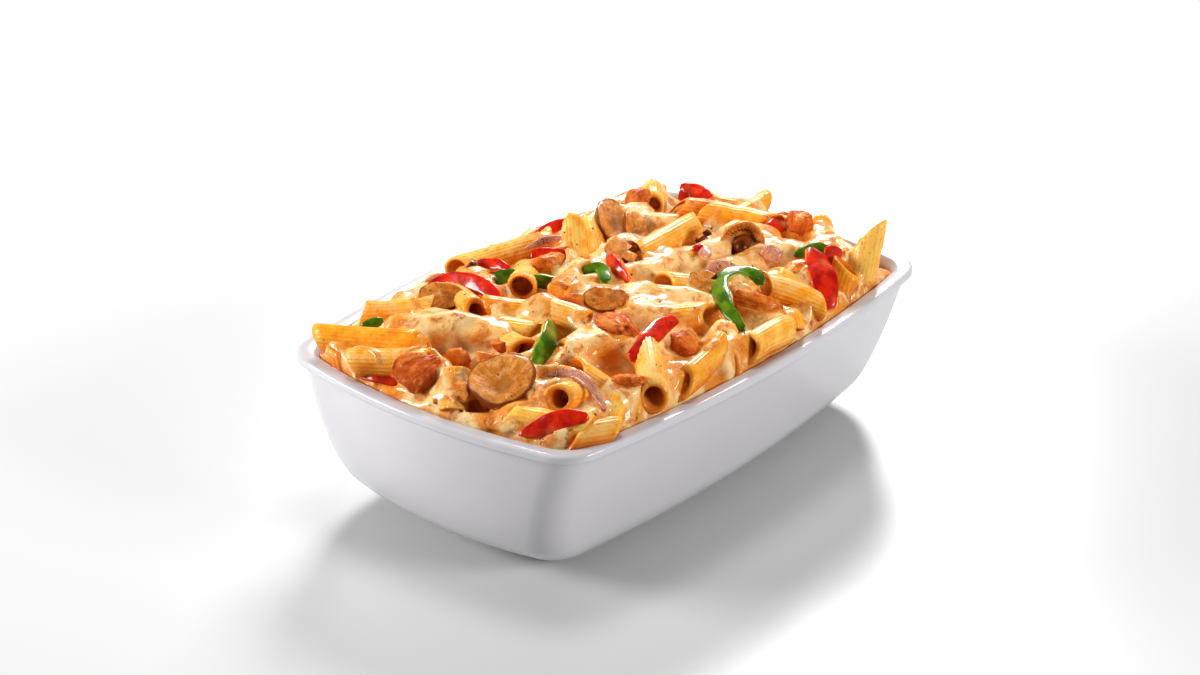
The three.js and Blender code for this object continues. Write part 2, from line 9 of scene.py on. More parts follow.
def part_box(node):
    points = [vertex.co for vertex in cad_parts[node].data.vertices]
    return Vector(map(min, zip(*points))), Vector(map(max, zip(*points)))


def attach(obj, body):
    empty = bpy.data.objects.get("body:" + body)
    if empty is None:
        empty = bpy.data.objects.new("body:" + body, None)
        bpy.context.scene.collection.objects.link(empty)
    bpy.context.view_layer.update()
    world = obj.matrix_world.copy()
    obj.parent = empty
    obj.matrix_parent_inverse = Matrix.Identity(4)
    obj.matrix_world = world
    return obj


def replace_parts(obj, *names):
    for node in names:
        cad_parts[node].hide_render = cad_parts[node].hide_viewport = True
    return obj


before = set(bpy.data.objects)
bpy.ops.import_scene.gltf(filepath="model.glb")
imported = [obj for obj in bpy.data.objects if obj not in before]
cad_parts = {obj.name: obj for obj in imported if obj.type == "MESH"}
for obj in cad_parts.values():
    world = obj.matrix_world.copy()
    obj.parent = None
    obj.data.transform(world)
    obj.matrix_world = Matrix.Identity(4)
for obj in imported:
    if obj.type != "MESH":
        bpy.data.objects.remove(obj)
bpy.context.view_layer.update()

# ---- sizes, in millimetres
# x and y start in the middle of the dish. Its underside is at z = 0, but heights are counted from
# its rim until Shape.make shifts them. In the tables, the third number of a spot is its lift over
# the level of the top layer there.

MM = 0.001
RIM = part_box("dish")[1][2] / MM

# The dish. Its lengths and widths are counted from the middle.
LIP_LENGTH = 112.5
LIP_WIDTH = 74.9
LIP_CORNER = 15.8
LIP_END_BOW = 5.9
LIP_SIDE_BOW = 7.5
LIP_HEIGHT = 3.4
LIP_OVERHANG = 1.95
BASE_CORNER = 14.5
BASE_END_BOW = 4.3
BASE_SIDE_BOW = 5.1
END_TAPER = 22.0
SIDE_TAPER = 21.4
END_CURVE = 3.3
SIDE_CURVE = 0.94
FOOT_RADIUS = 14.6
WALL = 4.4
FLOOR = 5.0
INSIDE_TOP = -2.2

# The heap's top, and how far the sauce between the tubes lies below it.
EDGE_RISE = 5.5
DOME_RISE = 7.0
SPAN_X = 104
SPAN_Y = 68
STEEPNESS = 2.5
FAR_DROP = 4.5
FAR_STEEPNESS = 3
CORE_DROP = 5.2

# Penne. A tube with a cover of BARE_COVER or less has no film of cheese.
QUILL_RADIUS = 5.2
QUILL_WALL = 1.75
QUILL_SLANT = 0.8
QUILL_RIDGES = 22
RIDGE_DEPTH = 0.2
CUT_ROUNDING = 0.35
OUTER_ROUNDING = 0.45
BARE_COVER = -1.7
FILM_SPAN = 1.5

# The skin of cheese, made on a grid of cells, and how thick it is on the toppings.
CELL = 1.04
MELT_BOTTOM = -9.0
MELT_LOW = (-109, -72, MELT_BOTTOM - 2)
MELT_HIGH = (109, 72, 34)
FOOD_MARGIN = 8
HOLE_MARGIN = 6
CLEARING_MARGIN = 3
LEVEL_SPREAD = 7.7
MELT_BLEND = 1.9
MELT_SHIFT = -0.65
WALL_OVERLAP = 0.15
EDGE_SLOPE = 0.35
BASE_FIT = 0.997
TOPPING_COVER = -1.6

# Directions as seen by someone in front of the dish's near corner.
UP = (0, 0, 1)
DOWN = (0, 0, -1)
NEAR = (-0.78, -0.63, 0)
FAR = (0.78, 0.63, 0)
LEFT = (-0.63, 0.77, 0)
NEAR_UP = (-0.6, -0.5, 0.62)

# ---- where the food lies


def quill(start, end, tip=UP, slant=QUILL_SLANT, cover=0.2, tone=0.5, open_end=None):
    """One penne tube between two points, each x, y and its lift over the layer's height.

    The cuts are parallel, and the far end reaches out on the side of `tip`. `cover` is the
    thickness of cheese on the tube, and `open_end` says which end shows its hole.
    """
    return dict(start=start, end=end, tip=tip, slant=slant, cover=cover, tone=tone, open_end=open_end)


QUILLS = [
    quill((-95.5, 56, 0), (-84, 18.5, 0.5), DOWN, 0.5, cover=-1.7, tone=0.62),
    quill((-96, 46, -1), (-100, 37, -14), cover=-1.5, tone=0.8),
    quill((-102.5, 33, -0.5), (-90, 8, 0), DOWN, 0.5, cover=-0.2, tone=0.55),
    quill((-76, 55.5, 0.5), (-62, 36, 0), UP, 0.5, cover=-0.5),
    quill((-82, 37, 0.5), (-72, 16, 1), UP, 0.5, cover=0.5, tone=0.4),
    quill((-68.5, 14, 0), (-54, -10, -0.5), FAR, cover=-1.1, tone=0.45),
    quill((-92, -5, 2), (-102.5, -13, -5), UP, 0.3, cover=0.1, tone=0.6),
    quill((-98, -32, -3.5), (-89, -57, -5), cover=-1.6, tone=0.25),
    quill((-94, -34.5, -2), (-70, -38, -5), cover=0.3, tone=0.35),
    quill((-86, -45, 1), (-66, -40, -8), (0, -1, 0.3), 0.25, cover=-1.0, tone=0.35, open_end="start"),
    quill((-94, -56, -6), (-82, -63, -6), cover=1.2, tone=0.45),
    quill((-69, -38, 1), (-65, -58, -6), (-0.85, -0.3, 0.4), 1.1, cover=-0.9, tone=0.4, open_end="start"),
    quill((-61, -65, 0), (-40, -45, 1), UP, 0.45, cover=-0.1, open_end="start"),
    quill((-45, -65, -1), (-22, -61.5, 1), UP, 1.0, cover=-1.0, tone=0.6),
    quill((-20, -65, -3.5), (-9, -57, -2), cover=1.2),
    quill((-9, -66, -0.5), (12, -66.5, -1), UP, 0.5, cover=-0.8, tone=0.35),
    quill((22, -59, -1), (16, -66.5, -2.5), cover=-1.3, tone=0.65),
    quill((28, -47, 1), (35, -65, -0.5), NEAR, cover=-0.4, tone=0.55, open_end="start"),
    quill((57, -61, -11), (65, -57.5, 2), (0.1, 1, 0), 0.8, cover=-1.5, tone=0.7, open_end="end"),
    quill((69, -59, -13), (78, -57.5, 10.5), (0.15, -0.97, 0), 1.5, cover=-1.5, tone=0.0),
    quill((89, -32, -3), (98, -23, 2), UP, 0.5, cover=-0.9, tone=0.4),
    quill((83, -37, -0.5), (77, -55, -2), cover=-0.3, tone=0.35),
    quill((75, 9, -3), (97, 6, 3.5), UP, 1.0, cover=-1.5, tone=0.45),
    quill((93, 34, -0.5), (96, 13, 0.5), cover=-1.0, tone=0.3),
    quill((73.5, 12, 1), (82, -11, 1), FAR, cover=-1.3, tone=0.6),
    quill((68, 25, 0.5), (78, 13, 0), cover=-1.2, tone=0.8),
    quill((63.5, 33, 0.5), (82, 48, 0), cover=-1.2, tone=0.4, open_end="start"),
    quill((18, 23, -8), (35, 43, 4), FAR, 1.2, cover=-1.5, tone=0.45, open_end="end"),
    quill((-4, 15, -10), (7, 26, 5), NEAR, 1.7, cover=-1.4, tone=0.3),
    quill((-21, 60, 0), (8, 41, 0.5), (-0.5, -0.8, 0.3), cover=-0.6, tone=0.35, open_end="start"),
    quill((-64, 46, -4), (-46, 48, -3), cover=0.3),
    quill((-56.5, 18, 0.5), (-44, 44, -1), UP, 0.6, cover=-0.9, tone=0.4, open_end="start"),
    quill((-52.5, 15, 1.5), (-40, -8, 1), DOWN, 0.5, cover=-0.7, tone=0.75),
    quill((-44, 1, 2.5), (-42, -19, 1), UP, 0.4, tone=0.6),
    quill((-32, 18, 1), (-12, 33, -3), LEFT, 0.6, cover=-1.0, tone=0.4, open_end="start"),
    quill((20, 3.5, 0.5), (59, 7, 1.5), (0, 0.8, -0.6), 1.3, cover=-0.8, open_end="end"),
    quill((42, 31, -1), (50, 15, 0), tone=0.6),
    quill((37, -41, 0), (45, -53, -4), cover=-1.1, tone=0.3),
    quill(
        (-4.5, -46.5, 0.5),
        (-24, -25, -3.5),
        (-0.6, -0.55, 0.4),
        0.9,
        cover=0.1,
        tone=0.35,
        open_end="start",
    ),
    quill((4, -19, 0), (19, -39, -0.5), (-0.8, -0.6, 0.3), tone=0.45, open_end="start"),
    quill((-10, -17, -1.5), (3, -34, -2.5), cover=0.3, tone=0.4),
    quill((-82, -61, -7), (-67, -55, -5), cover=1.2, tone=0.4),
    quill((-63, -26, 1), (-45, -38, 0), UP, 0.5, cover=0.5, tone=0.55),
    quill((-66.5, -14.5, 0), (-60, 3, -2.5), NEAR, cover=-1.0, tone=0.4, open_end="start"),
    quill((-6, 58, -2.5), (16, 50, -2), cover=0.8),
    quill((56, 50, -2), (73, 40, -2), cover=0.5),
    quill((-34, -6, -3.5), (-12, -18, -3), cover=1.2),
    quill((-14, 10, -4), (10, -8, -3.5), cover=1.2),
    quill((20, -4, -3.5), (44, -14, -2.5), cover=1.0),
    quill((58, -4, -2), (66, -34, -3), cover=0.9),
    quill((30, -24, -4), (56, -28, -4), cover=1.0),
    quill((20, 60, -4), (50, 57, -5), cover=0.3),
    quill((-56, 58, -4), (-28, 62, -5), cover=0.3),
    quill((66, 60, -5), (92, 54, -5)),
    quill((86, -2, -2), (100, -20, -5), cover=0.5),
]


def strip(path, width, face=NEAR_UP, thick=2.4, ends=(0.75, 0.75), bare=(0, 1)):
    """A strip of pepper or onion along a path, its skin turned to `face`.

    `ends` is how wide both ends are against its middle, and `bare` is the share of its
    length that no cheese has run over.
    """
    return dict(path=path, width=width, face=face, thick=thick, ends=ends, bare=bare)


RED_PEPPERS = [
    strip([(-102, -41.5, -5), (-97.5, -47, -3), (-93.5, -53, 0), (-89, -60.5, 1)], 6.5, ends=(0.2, 0.5)),
    strip([(-53, -49, 2.5), (-42, -47.5, 5), (-30, -44, 4.5), (-20, -43, 3.5)], 6.5, ends=(0.7, 0.5)),
    strip(
        [(61, -46, 4), (54, -52, 4), (48, -59, 1.5), (43, -64.5, -5)],
        10,
        (-0.5, -0.8, 0.4),
        ends=(0.8, 0.5),
    ),
    strip([(64, -47.5, 3), (69, -52, 2.5)], 7),
    strip([(73, -15, 1.5), (81, -14, 2.5), (90, -10, 3)], 6.5, ends=(0.5, 0.8)),
    strip([(87, 38, 2), (87, 30, 4), (85, 22, 2.5)], 7.5, ends=(0.85, 0.85)),
    strip([(-8, 35, 2), (-4, 29, 1.5), (0, 23, 0.5)], 6, ends=(0.6, 0.6)),
    strip([(10, 50, 0), (21, 51, 2), (31, 49, 2.5)], 5, ends=(0.4, 0.7)),
    strip([(-20.5, 52, 1), (-20.5, 43, 2), (-20.5, 34, 1)], 4.5, ends=(0.5, 0.5)),
    strip(
        [(-56, 47, 0), (-47, 45, 3), (-44.5, 36, 4), (-45, 26, 4), (-47, 18, 3), (-52, 14, 1)],
        6.5,
        (-0.7, -0.3, 0.6),
        ends=(0.35, 0.6),
    ),
    strip([(6, 10, 2), (0, 0.5, 3.5), (-5.5, -10, 1.5)], 5, (-0.9, 0.3, 0.4), ends=(0.4, 0.4)),
    strip([(-102, 31, -5.5), (-100.5, 24, -4.5), (-99, 16, -5.5)], 5, ends=(0.4, 0.6)),
]

GREEN_PEPPERS = [
    strip([(58, -38, 0.5), (64, -40.5, 1.5), (70, -41.5, 1.5), (74, -47, 0)], 5, ends=(0.4, 0.5)),
    strip([(-31, 32, 0.5), (-25, 27, 1)], 6),
    strip([(-25.5, 19, 1), (-20.5, 10, 0.5)], 5, NEAR),
    strip([(-10.5, 8, 2), (-6, 3, 3), (-12, -5, 1.5)], 4.5),
    strip(
        [
            (25, -48, 3), (27, -41.5, 4.5), (22, -37.5, 5), (14, -37.5, 5),
            (7, -42, 4.5), (0, -50, 4), (-3.5, -57, 3.5), (-5, -62, 2),
        ],
        6,
        (-0.5, 0.1, 0.85),
        ends=(0.6, 0.4),
    ),
    strip(
        [(-50, -11, 2.5), (-56, -15.5, 3.5), (-63, -20, 3), (-70, -22.5, 2), (-77, -25, 0.5)],
        6.5,
        (0.1, -0.8, 0.6),
        ends=(0.6, 0.4),
        bare=(0.3, 1),
    ),
]

ONIONS = [
    strip(
        [(-79.5, -31, 1.5), (-75.5, -37.5, 3), (-74.7, -45.5, 3.5), (-76.5, -52, 2), (-79.5, -60, -0.5)],
        3.6,
        thick=1.6,
        ends=(0.25, 0.3),
    ),
    strip([(-4, 41, 3), (4, 38.5, 3.5), (12, 34, 3)], 3, thick=1.6, ends=(0.3, 0.4)),
    strip([(37, -9, 2), (30, -20, 2)], 4.5, thick=1.6, ends=(0.5, 0.3)),
    strip([(21, -25, 2), (28, -33, 2)], 7, thick=1.6, ends=(0.4, 0.6)),
    strip([(49, -30, 3), (50, -38, 2)], 6, thick=1.6, ends=(0.5, 0.8)),
]


def piece_slice(foot, top, width, thick, face=NEAR_UP, stem=0.45, hollow=0):
    """A slice of mushroom from the foot of its stem to the top of its cap.

    `stem` is the share of its length below the cap. At 0 the slice is of the cap alone.
    `hollow` is how far its middle is sunk, as a share of half its thickness.
    """
    return dict(foot=foot, top=top, width=width, thick=thick, face=face, stem=stem, hollow=hollow)


MUSHROOMS = [
    piece_slice((-97, -30.5, -1.5), (-84, -18, 7), 23, 5, (-0.66, -0.45, 0.6), stem=0, hollow=0.4),
    piece_slice((28, 24, -3), (42, 38, 9), 12, 3.5, (-0.4, -0.7, 0.5), stem=0),
    piece_slice((30, 14, -2), (42, 27, 3.5), 9, 3.5, (-0.4, -0.7, 0.5), stem=0),
    piece_slice((-51, 28, 2), (-63, 41, 3), 11, 4, stem=0),
    piece_slice((8, -4, 3), (13, 15, 3), 9, 3.5, (-0.7, -0.2, 0.65)),
    piece_slice((11, -41, 3), (8.5, -27, 4), 9, 3.5),
    piece_slice((-20, -22, 3), (-31, -9, 3.5), 9, 4.5, stem=0),
    piece_slice((-77, -14, 1), (-74, -24, 0.5), 7, 4, stem=0),
    piece_slice((-97, -12, -7), (-92, -22, -7), 8, 4, stem=0),
]

CAP = dict(at=(49, -20.5, 2.5), radius=8.8, height=8.5, face=(-0.8, -0.55, 0.1))


def chunk(at, size, yaw, pitch=0, cover=-0.7, tone=0.5):
    """A torn chunk of chicken: its middle, its length, width and height, and its turn from +X."""
    return dict(at=at, size=size, yaw=yaw, pitch=pitch, cover=cover, tone=tone)


CHICKEN = [
    chunk((-96, 7.5, 1), (20, 13, 11), -8, 14, cover=-0.9, tone=0.8),
    chunk((13.5, -55, 2), (18, 14, 12), -80, cover=-1.0, tone=0.35),
    chunk((85, -22, 2.5), (13, 12, 12), -60, cover=-1.0, tone=0.6),
    chunk((-12.5, 24, 1), (14, 10, 9), -80, cover=-0.3),
    chunk((-25.5, 3.5, 1.5), (14, 12, 10), -75, cover=-0.5, tone=0.3),
    chunk((49, -47, -0.5), (12, 11, 10), -60, cover=0.2, tone=0.3),
    chunk((-40, -32, 3.5), (25, 15, 12), -113, cover=-1.0, tone=0.75),
    chunk((-29, -54, 0.5), (16, 12, 11), -70, cover=-1.0, tone=0.65),
    chunk((-63, -55, 1), (13, 9, 9), -100, cover=-0.9),
    chunk((-73, -31.5, 0), (9, 7, 7), -30, cover=-0.3),
    chunk((58.5, 37, 2.5), (12, 9, 8), -40, cover=-1.0, tone=0.8),
    chunk((98, -5, 1.5), (13, 7, 7), -85, cover=-0.8, tone=0.6),
]


def pool(x, y, lift=2, reach=5, thick=2.2):
    """A place where cheese has gathered: its middle, how far it spreads, and its thickness."""
    return dict(spot=(x, y, lift), reach=reach, thick=thick)


POOLS = [
    pool(-5, 24), pool(-11.5, 9), pool(-18, -8, 1.5), pool(-60.5, 17.5, 1), pool(-66, 7, 1),
    pool(-91, 1, 1, 4), pool(-98, -9, -2), pool(-72.5, -29, 1.5, 4), pool(-53, -28, 2.5, 4),
    pool(-69, 26, 2, 4), pool(-88, -63, 0), pool(-102, -28, -4), pool(80, 18, 2, 6), pool(68, -20, 3, 5),
    pool(61, -11, 2, 5), pool(23.5, 15, 1.5), pool(16, -3, 2), pool(-11, -30, 1),
    pool(-15, -63, -1, 6, 4), pool(-40, -58, 0), pool(-42, -65, -2, 6), pool(-45, -28, 3, 4),
    pool(-21, -24, 2), pool(76, -36, 2, 6), pool(-60, -62, -1), pool(5, -62, -3, 7),
    pool(94, -28, -4, 5, 2.5), pool(94, -44, -9, 5, 2.5), pool(97, 20, -4, 5, 2.5), pool(35, 47, 0, 6, 2.5),
    pool(-32, 34, 0, 6, 2.5), pool(-30, 22, -1, 5, 2), pool(97, -13, -4, 5, 2.5), pool(40, -62, -3, 7),
    pool(-101, 47, -4, 5, 3), pool(-54, -13.5, 5, 4, 1.8), pool(-103, 38, -7, 5, 3), pool(36, 4, 2),
    pool(50, 30, 2), pool(-30, 46, 1),
]


def filling(spacing=13):
    """Low pools on an uneven grid, so that no sauce lies flat between the pieces."""
    random = np.random.default_rng(21)
    pools = []
    for x in np.arange(-96, 85, spacing):
        for y in np.arange(-60, 61, spacing):
            right, back = random.uniform(-4, 4, 2)
            lift = random.uniform(-7, -4.5)
            reach = random.uniform(2.5, 4.5)
            pools.append(pool(x + right, y + back, lift, reach, random.uniform(1.8, 2.6)))
    return pools


SMALL_BITS = [
    ("green_pepper", strip([(-88, 44, 3), (-81, 40, 3)], 3.5, ends=(0.5, 0.4))),
    ("onion", strip([(-43, 56, 2.5), (-35.5, 52, 3)], 2.2, thick=1.4, ends=(0.3, 0.3))),
    ("red_pepper", strip([(31, -11, 3), (35, -13.5, 2.5)], 3, ends=(0.5, 0.5))),
    ("mushroom", piece_slice((-29, 46, 2.5), (-23, 50.5, 3.5), 5, 2.5, NEAR, stem=0.3)),
    ("mushroom", piece_slice((42, -8, 2.5), (48.5, -2, 3.5), 6, 3, NEAR, stem=0.3)),
    ("chicken", chunk((-33, -8, 3), (8, 6, 5), -30, tone=0.7)),
    ("chicken", chunk((16, 8.5, 3), (9, 5, 5), -60, tone=0.7)),
    ("chicken", chunk((-81, 5, -1), (11, 7, 5), -60, 12)),
    ("chicken", chunk((-77, -4, -0.5), (10, 7, 4), 20, -10, tone=0.3)),
    ("chicken", chunk((-68, -6, 0), (10, 6, 4), -50, 8, tone=0.6)),
    ("chicken", chunk((-99, -14, 0.5), (8, 6, 5), -80, tone=0.1)),
    ("chicken", chunk((-101, -7, -2.5), (7, 6, 5), -40, tone=0.2)),
]


def layer_height(x, y):
    """Height above the rim at which the top layer's tubes lie. The far sides are filled lower."""
    edge = np.clip(np.maximum(np.abs(x) / SPAN_X, np.abs(y) / SPAN_Y), 0, 1)
    far = np.clip(np.maximum(x / SPAN_X, y / SPAN_Y), 0, 1)
    return EDGE_RISE + DOME_RISE * (1 - edge**STEEPNESS) - FAR_DROP * far**FAR_STEEPNESS


def placed(spot):
    """A spot of the tables as a point, its height counted from the rim."""
    x, y, lift = spot
    return np.array([x, y, layer_height(x, y) + lift])


def lift_of(points):
    """How far points are above the level of the top layer's tubes."""
    return points[:, 2] - layer_height(points[:, 0], points[:, 1])


def unit(vector):
    vector = np.asarray(vector, float)
    return vector / np.linalg.norm(vector)


def square_to(axis, wish):
    """The unit vector closest to `wish` that stands square to `axis`."""
    wish = np.asarray(wish, float)
    return unit(wish - axis * (wish @ axis))


# ---- smooth random fields


# The random lattice stands askew and off centre, so that its cells don't line up with the dish.
LATTICE_TURN = np.array([[0.36, 0.48, -0.8], [-0.8, 0.6, 0.0], [0.48, 0.64, 0.6]])
LATTICE_SHIFT = 137.0
LATTICE_SIZE = 24


def corner_weights(share):
    """The corners of a cell, and how much each counts `share` of the way through it."""
    for corner in np.ndindex(2, 2, 2):
        weight = 1
        for axis in range(3):
            weight = weight * (share[..., axis] if corner[axis] else 1 - share[..., axis])
        yield corner, weight


def lumps(points, size, seed):
    """A smooth random field from -1 to 1, with about one lump for every `size` millimetres."""
    lattice = np.random.default_rng(seed).uniform(-1, 1, (LATTICE_SIZE,) * 3)
    scaled = np.asarray(points) @ LATTICE_TURN / size + LATTICE_SHIFT
    low = np.floor(scaled).astype(int)
    share = scaled - low
    share = share * share * (3 - 2 * share)
    total = 0
    for corner, weight in corner_weights(share):
        index = tuple((low[..., axis] + corner[axis]) % LATTICE_SIZE for axis in range(3))
        total = total + weight * lattice[index]
    return total


def shake(points, size, seed):
    """Three such fields side by side, to move points by along x, y and z."""
    return np.stack([lumps(points, size, seed + k) for k in range(3)], 1)


# ---- shapes made of rings


class Shape:
    """Points, faces and per-point attributes of one piece, collected part by part."""

    def __init__(self):
        self.points = []
        self.faces = []
        self.attributes = {}
        self.count = 0

    def add(self, points, faces, **attributes):
        points = np.asarray(points, float)
        self.points.append(points)
        self.faces.extend([tuple(int(i) + self.count for i in face) for face in faces])
        for name, values in attributes.items():
            values = np.broadcast_to(values, (len(points),) + np.shape(values)[1:])
            self.attributes.setdefault(name, []).append(np.asarray(values, float))
        self.count += len(points)

    def make(self, name, material, slot):
        mesh = bpy.data.meshes.new(name)
        points = np.concatenate(self.points)
        points = (points + [0, 0, RIM]) * MM
        mesh.from_pydata(points.tolist(), [], self.faces)
        for label, parts in self.attributes.items():
            values = np.concatenate(parts)
            kind = "FLOAT" if values.ndim == 1 else "FLOAT_VECTOR"
            layer = mesh.attributes.new(label, kind, "POINT")
            layer.data.foreach_set("value" if values.ndim == 1 else "vector", values.ravel())
        mesh.shade_smooth()
        mesh.materials.append(material)
        piece = bpy.data.objects.new(name, mesh)
        bpy.context.scene.collection.objects.link(piece)
        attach(piece, "root")
        return piece


def ring_faces(rings, around, closed=False):
    """Faces between equal rings of points, with a fan at both ends unless the rings close up."""
    faces = []
    step = np.arange(around)
    turn = (step + 1) % around
    for r in range(rings if closed else rings - 1):
        low = r * around
        high = ((r + 1) % rings) * around
        faces.extend(zip(low + step, low + turn, high + turn, high + step))
    if not closed:
        hub = rings * around
        top = (rings - 1) * around
        faces.extend(zip([hub] * around, turn, step))
        faces.extend(zip([hub + 1] * around, top + step, top + turn))
    return faces


def with_hubs(rings):
    """The rings' points in one list, followed by the middles of the first and last ring."""
    return np.concatenate([rings.reshape(-1, 3), [rings[0].mean(0)], [rings[-1].mean(0)]])


def with_ends(values):
    """Values of the rings' points in one list, followed by those for the two middles."""
    values = np.concatenate(values)
    return np.concatenate([values, values[:1], values[-1:]])


def make_piece(name, material, slot, points, faces, warp=0, **attributes):
    """A piece of one part, its points moved by `warp`. `lift` is how high they were before."""
    shape = Shape()
    shape.add(points + warp, faces, **attributes, lift=lift_of(points))
    return shape.make(name, material, slot)


# ---- the dish


def bowed_outline(length, width, corner, end_bow, side_bow, drawn=(14, 16, 30)):
    """Points of a rectangle with bowed sides and round corners, anticlockwise.

    `drawn` is the number of steps in a corner, an end and a long side.
    """
    corner_steps, end_steps, side_steps = drawn
    corner_x = length - corner - end_bow
    corner_y = width - corner - side_bow
    end = (corner_y, end_bow, length - corner, end_steps)
    side = (corner_x, side_bow, width - corner, side_steps)
    parts = []
    for index in range(4):
        half, bow, reach, steps = side if index % 2 else end
        next_half, next_bow = (end if index % 2 else side)[:2]
        radius = (half**2 + bow**2) / (2 * bow)
        next_radius = (next_half**2 + next_bow**2) / (2 * next_bow)
        sweep = math.asin(half / radius)
        next_sweep = math.asin(next_half / next_radius)
        turn = np.linspace(-sweep, sweep, steps + 1)
        out = reach - radius + (radius + corner) * np.cos(turn)
        along = (radius + corner) * np.sin(turn)
        bend = np.linspace(sweep, math.pi / 2 - next_sweep, corner_steps + 1)[1:-1]
        out = np.append(out, reach - bow + corner * np.cos(bend))
        along = np.append(along, half + corner * np.sin(bend))
        cosine = round(math.cos(index * math.pi / 2))
        sine = round(math.sin(index * math.pi / 2))
        parts.append(np.stack([out * cosine - along * sine, out * sine + along * cosine], 1))
    return np.concatenate(parts)


def lip_outline(inset):
    """The outline of the rolled lip, moved in by `inset`."""
    return bowed_outline(
        LIP_LENGTH - inset, LIP_WIDTH - inset, LIP_CORNER - inset * 0.7, LIP_END_BOW, LIP_SIDE_BOW
    )


def wall_outline(z, inset):
    """The wall's outline at height z (the rim is 0), moved in by `inset`."""
    depth = min(max((-LIP_HEIGHT - z) / (RIM - LIP_HEIGHT), 0), 1)
    roundness = max(FOOT_RADIUS - (z + RIM), 0)
    foot = FOOT_RADIUS - math.sqrt(FOOT_RADIUS**2 - roundness**2)
    inset_x = LIP_OVERHANG + (END_TAPER - LIP_OVERHANG) * depth**END_CURVE
    inset_y = LIP_OVERHANG + (SIDE_TAPER - LIP_OVERHANG) * depth**SIDE_CURVE
    corner = LIP_CORNER + (BASE_CORNER - LIP_CORNER) * depth - foot * 0.5 - inset * 0.6
    return bowed_outline(
        LIP_LENGTH - inset_x - foot - inset,
        LIP_WIDTH - inset_y - foot - inset,
        max(corner, 3.5),
        LIP_END_BOW + (BASE_END_BOW - LIP_END_BOW) * depth,
        LIP_SIDE_BOW + (BASE_SIDE_BOW - LIP_SIDE_BOW) * depth,
    )


def ring(outline, z):
    """An outline's points at height z."""
    return np.column_stack([outline, np.full(len(outline), z)])


def inner_ring(z):
    """The inside of the wall at height z: one wall thickness in, with its foot on the floor."""
    share = -z / (RIM - FLOOR)
    return ring(wall_outline(max(z - FLOOR * share, -RIM), WALL), z)


# The foot's rings are shares of its outline with heights over the underside. The lip's are
# distances out from the wall with heights over the lip's lower edge, then insets with heights.
FOOT_RINGS = ((0.3, 0.5), (0.86, 0.5), (0.92, 0.1))
LIP_UNDERSIDE = ((0.08, -0.2), (0.3, 0.1), (0.9, 0.2), (1.5, 0.2))
LIP_EDGE = (
    (0.12, -LIP_HEIGHT + 0.5), (0, -LIP_HEIGHT + 0.9), (0, -1.25), (0.12, -0.7), (0.45, -0.25), (0.95, -0.04),
    (1.5, 0), (3.2, -0.12), (4.9, -0.3), (5.5, -0.45), (5.95, -0.8), (6.25, -1.35),
)


def build_dish(material):
    """The dish in one loft: underside, foot, wall and lip, and down again on the inside."""
    turns = np.linspace(math.pi / 2, 0.05, 9)
    heights = [-RIM + FOOT_RADIUS * (1 - math.sin(turn)) for turn in turns]
    heights += list(np.linspace(-RIM + FOOT_RADIUS, -LIP_HEIGHT - 1.4, 16))
    base = wall_outline(-RIM, 0)
    floor = -RIM + FLOOR
    rings = [ring(base * share, -RIM + sunk) for share, sunk in FOOT_RINGS]
    rings += [ring(wall_outline(z, 0), z) for z in heights]
    rings += [ring(lip_outline(LIP_OVERHANG - out), -LIP_HEIGHT + rise) for out, rise in LIP_UNDERSIDE]
    rings += [ring(lip_outline(inset), z) for inset, z in LIP_EDGE]
    rings += [inner_ring(z) for z in np.linspace(INSIDE_TOP, floor + 0.01, 22)]
    rings.append(ring(inner_ring(floor + 0.01)[:, :2] * 0.5, floor))
    rings = np.array(rings)
    shape = Shape()
    shape.add(with_hubs(rings), ring_faces(*rings.shape[:2]))
    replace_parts(shape.make("dish_glazed", material, "glazed_white"), "dish")


# ---- penne


def bent(item, index):
    """The tube's middle, axes, half length and bend, the same for its mesh and its distance."""
    start = placed(item["start"])
    end = placed(item["end"])
    axis = unit(end - start)
    side = square_to(axis, item["tip"])
    random = np.random.default_rng(100 + index)
    return dict(
        middle=(start + end) / 2,
        axis=axis,
        side=side,
        across=np.cross(axis, side),
        half=np.linalg.norm(end - start) / 2,
        slant=item["slant"],
        radius=QUILL_RADIUS * random.uniform(0.95, 1.04),
        bow=random.uniform(-1.7, 1.7),
        squash=random.uniform(0.86, 0.99),
        seed=300 + index,
    )


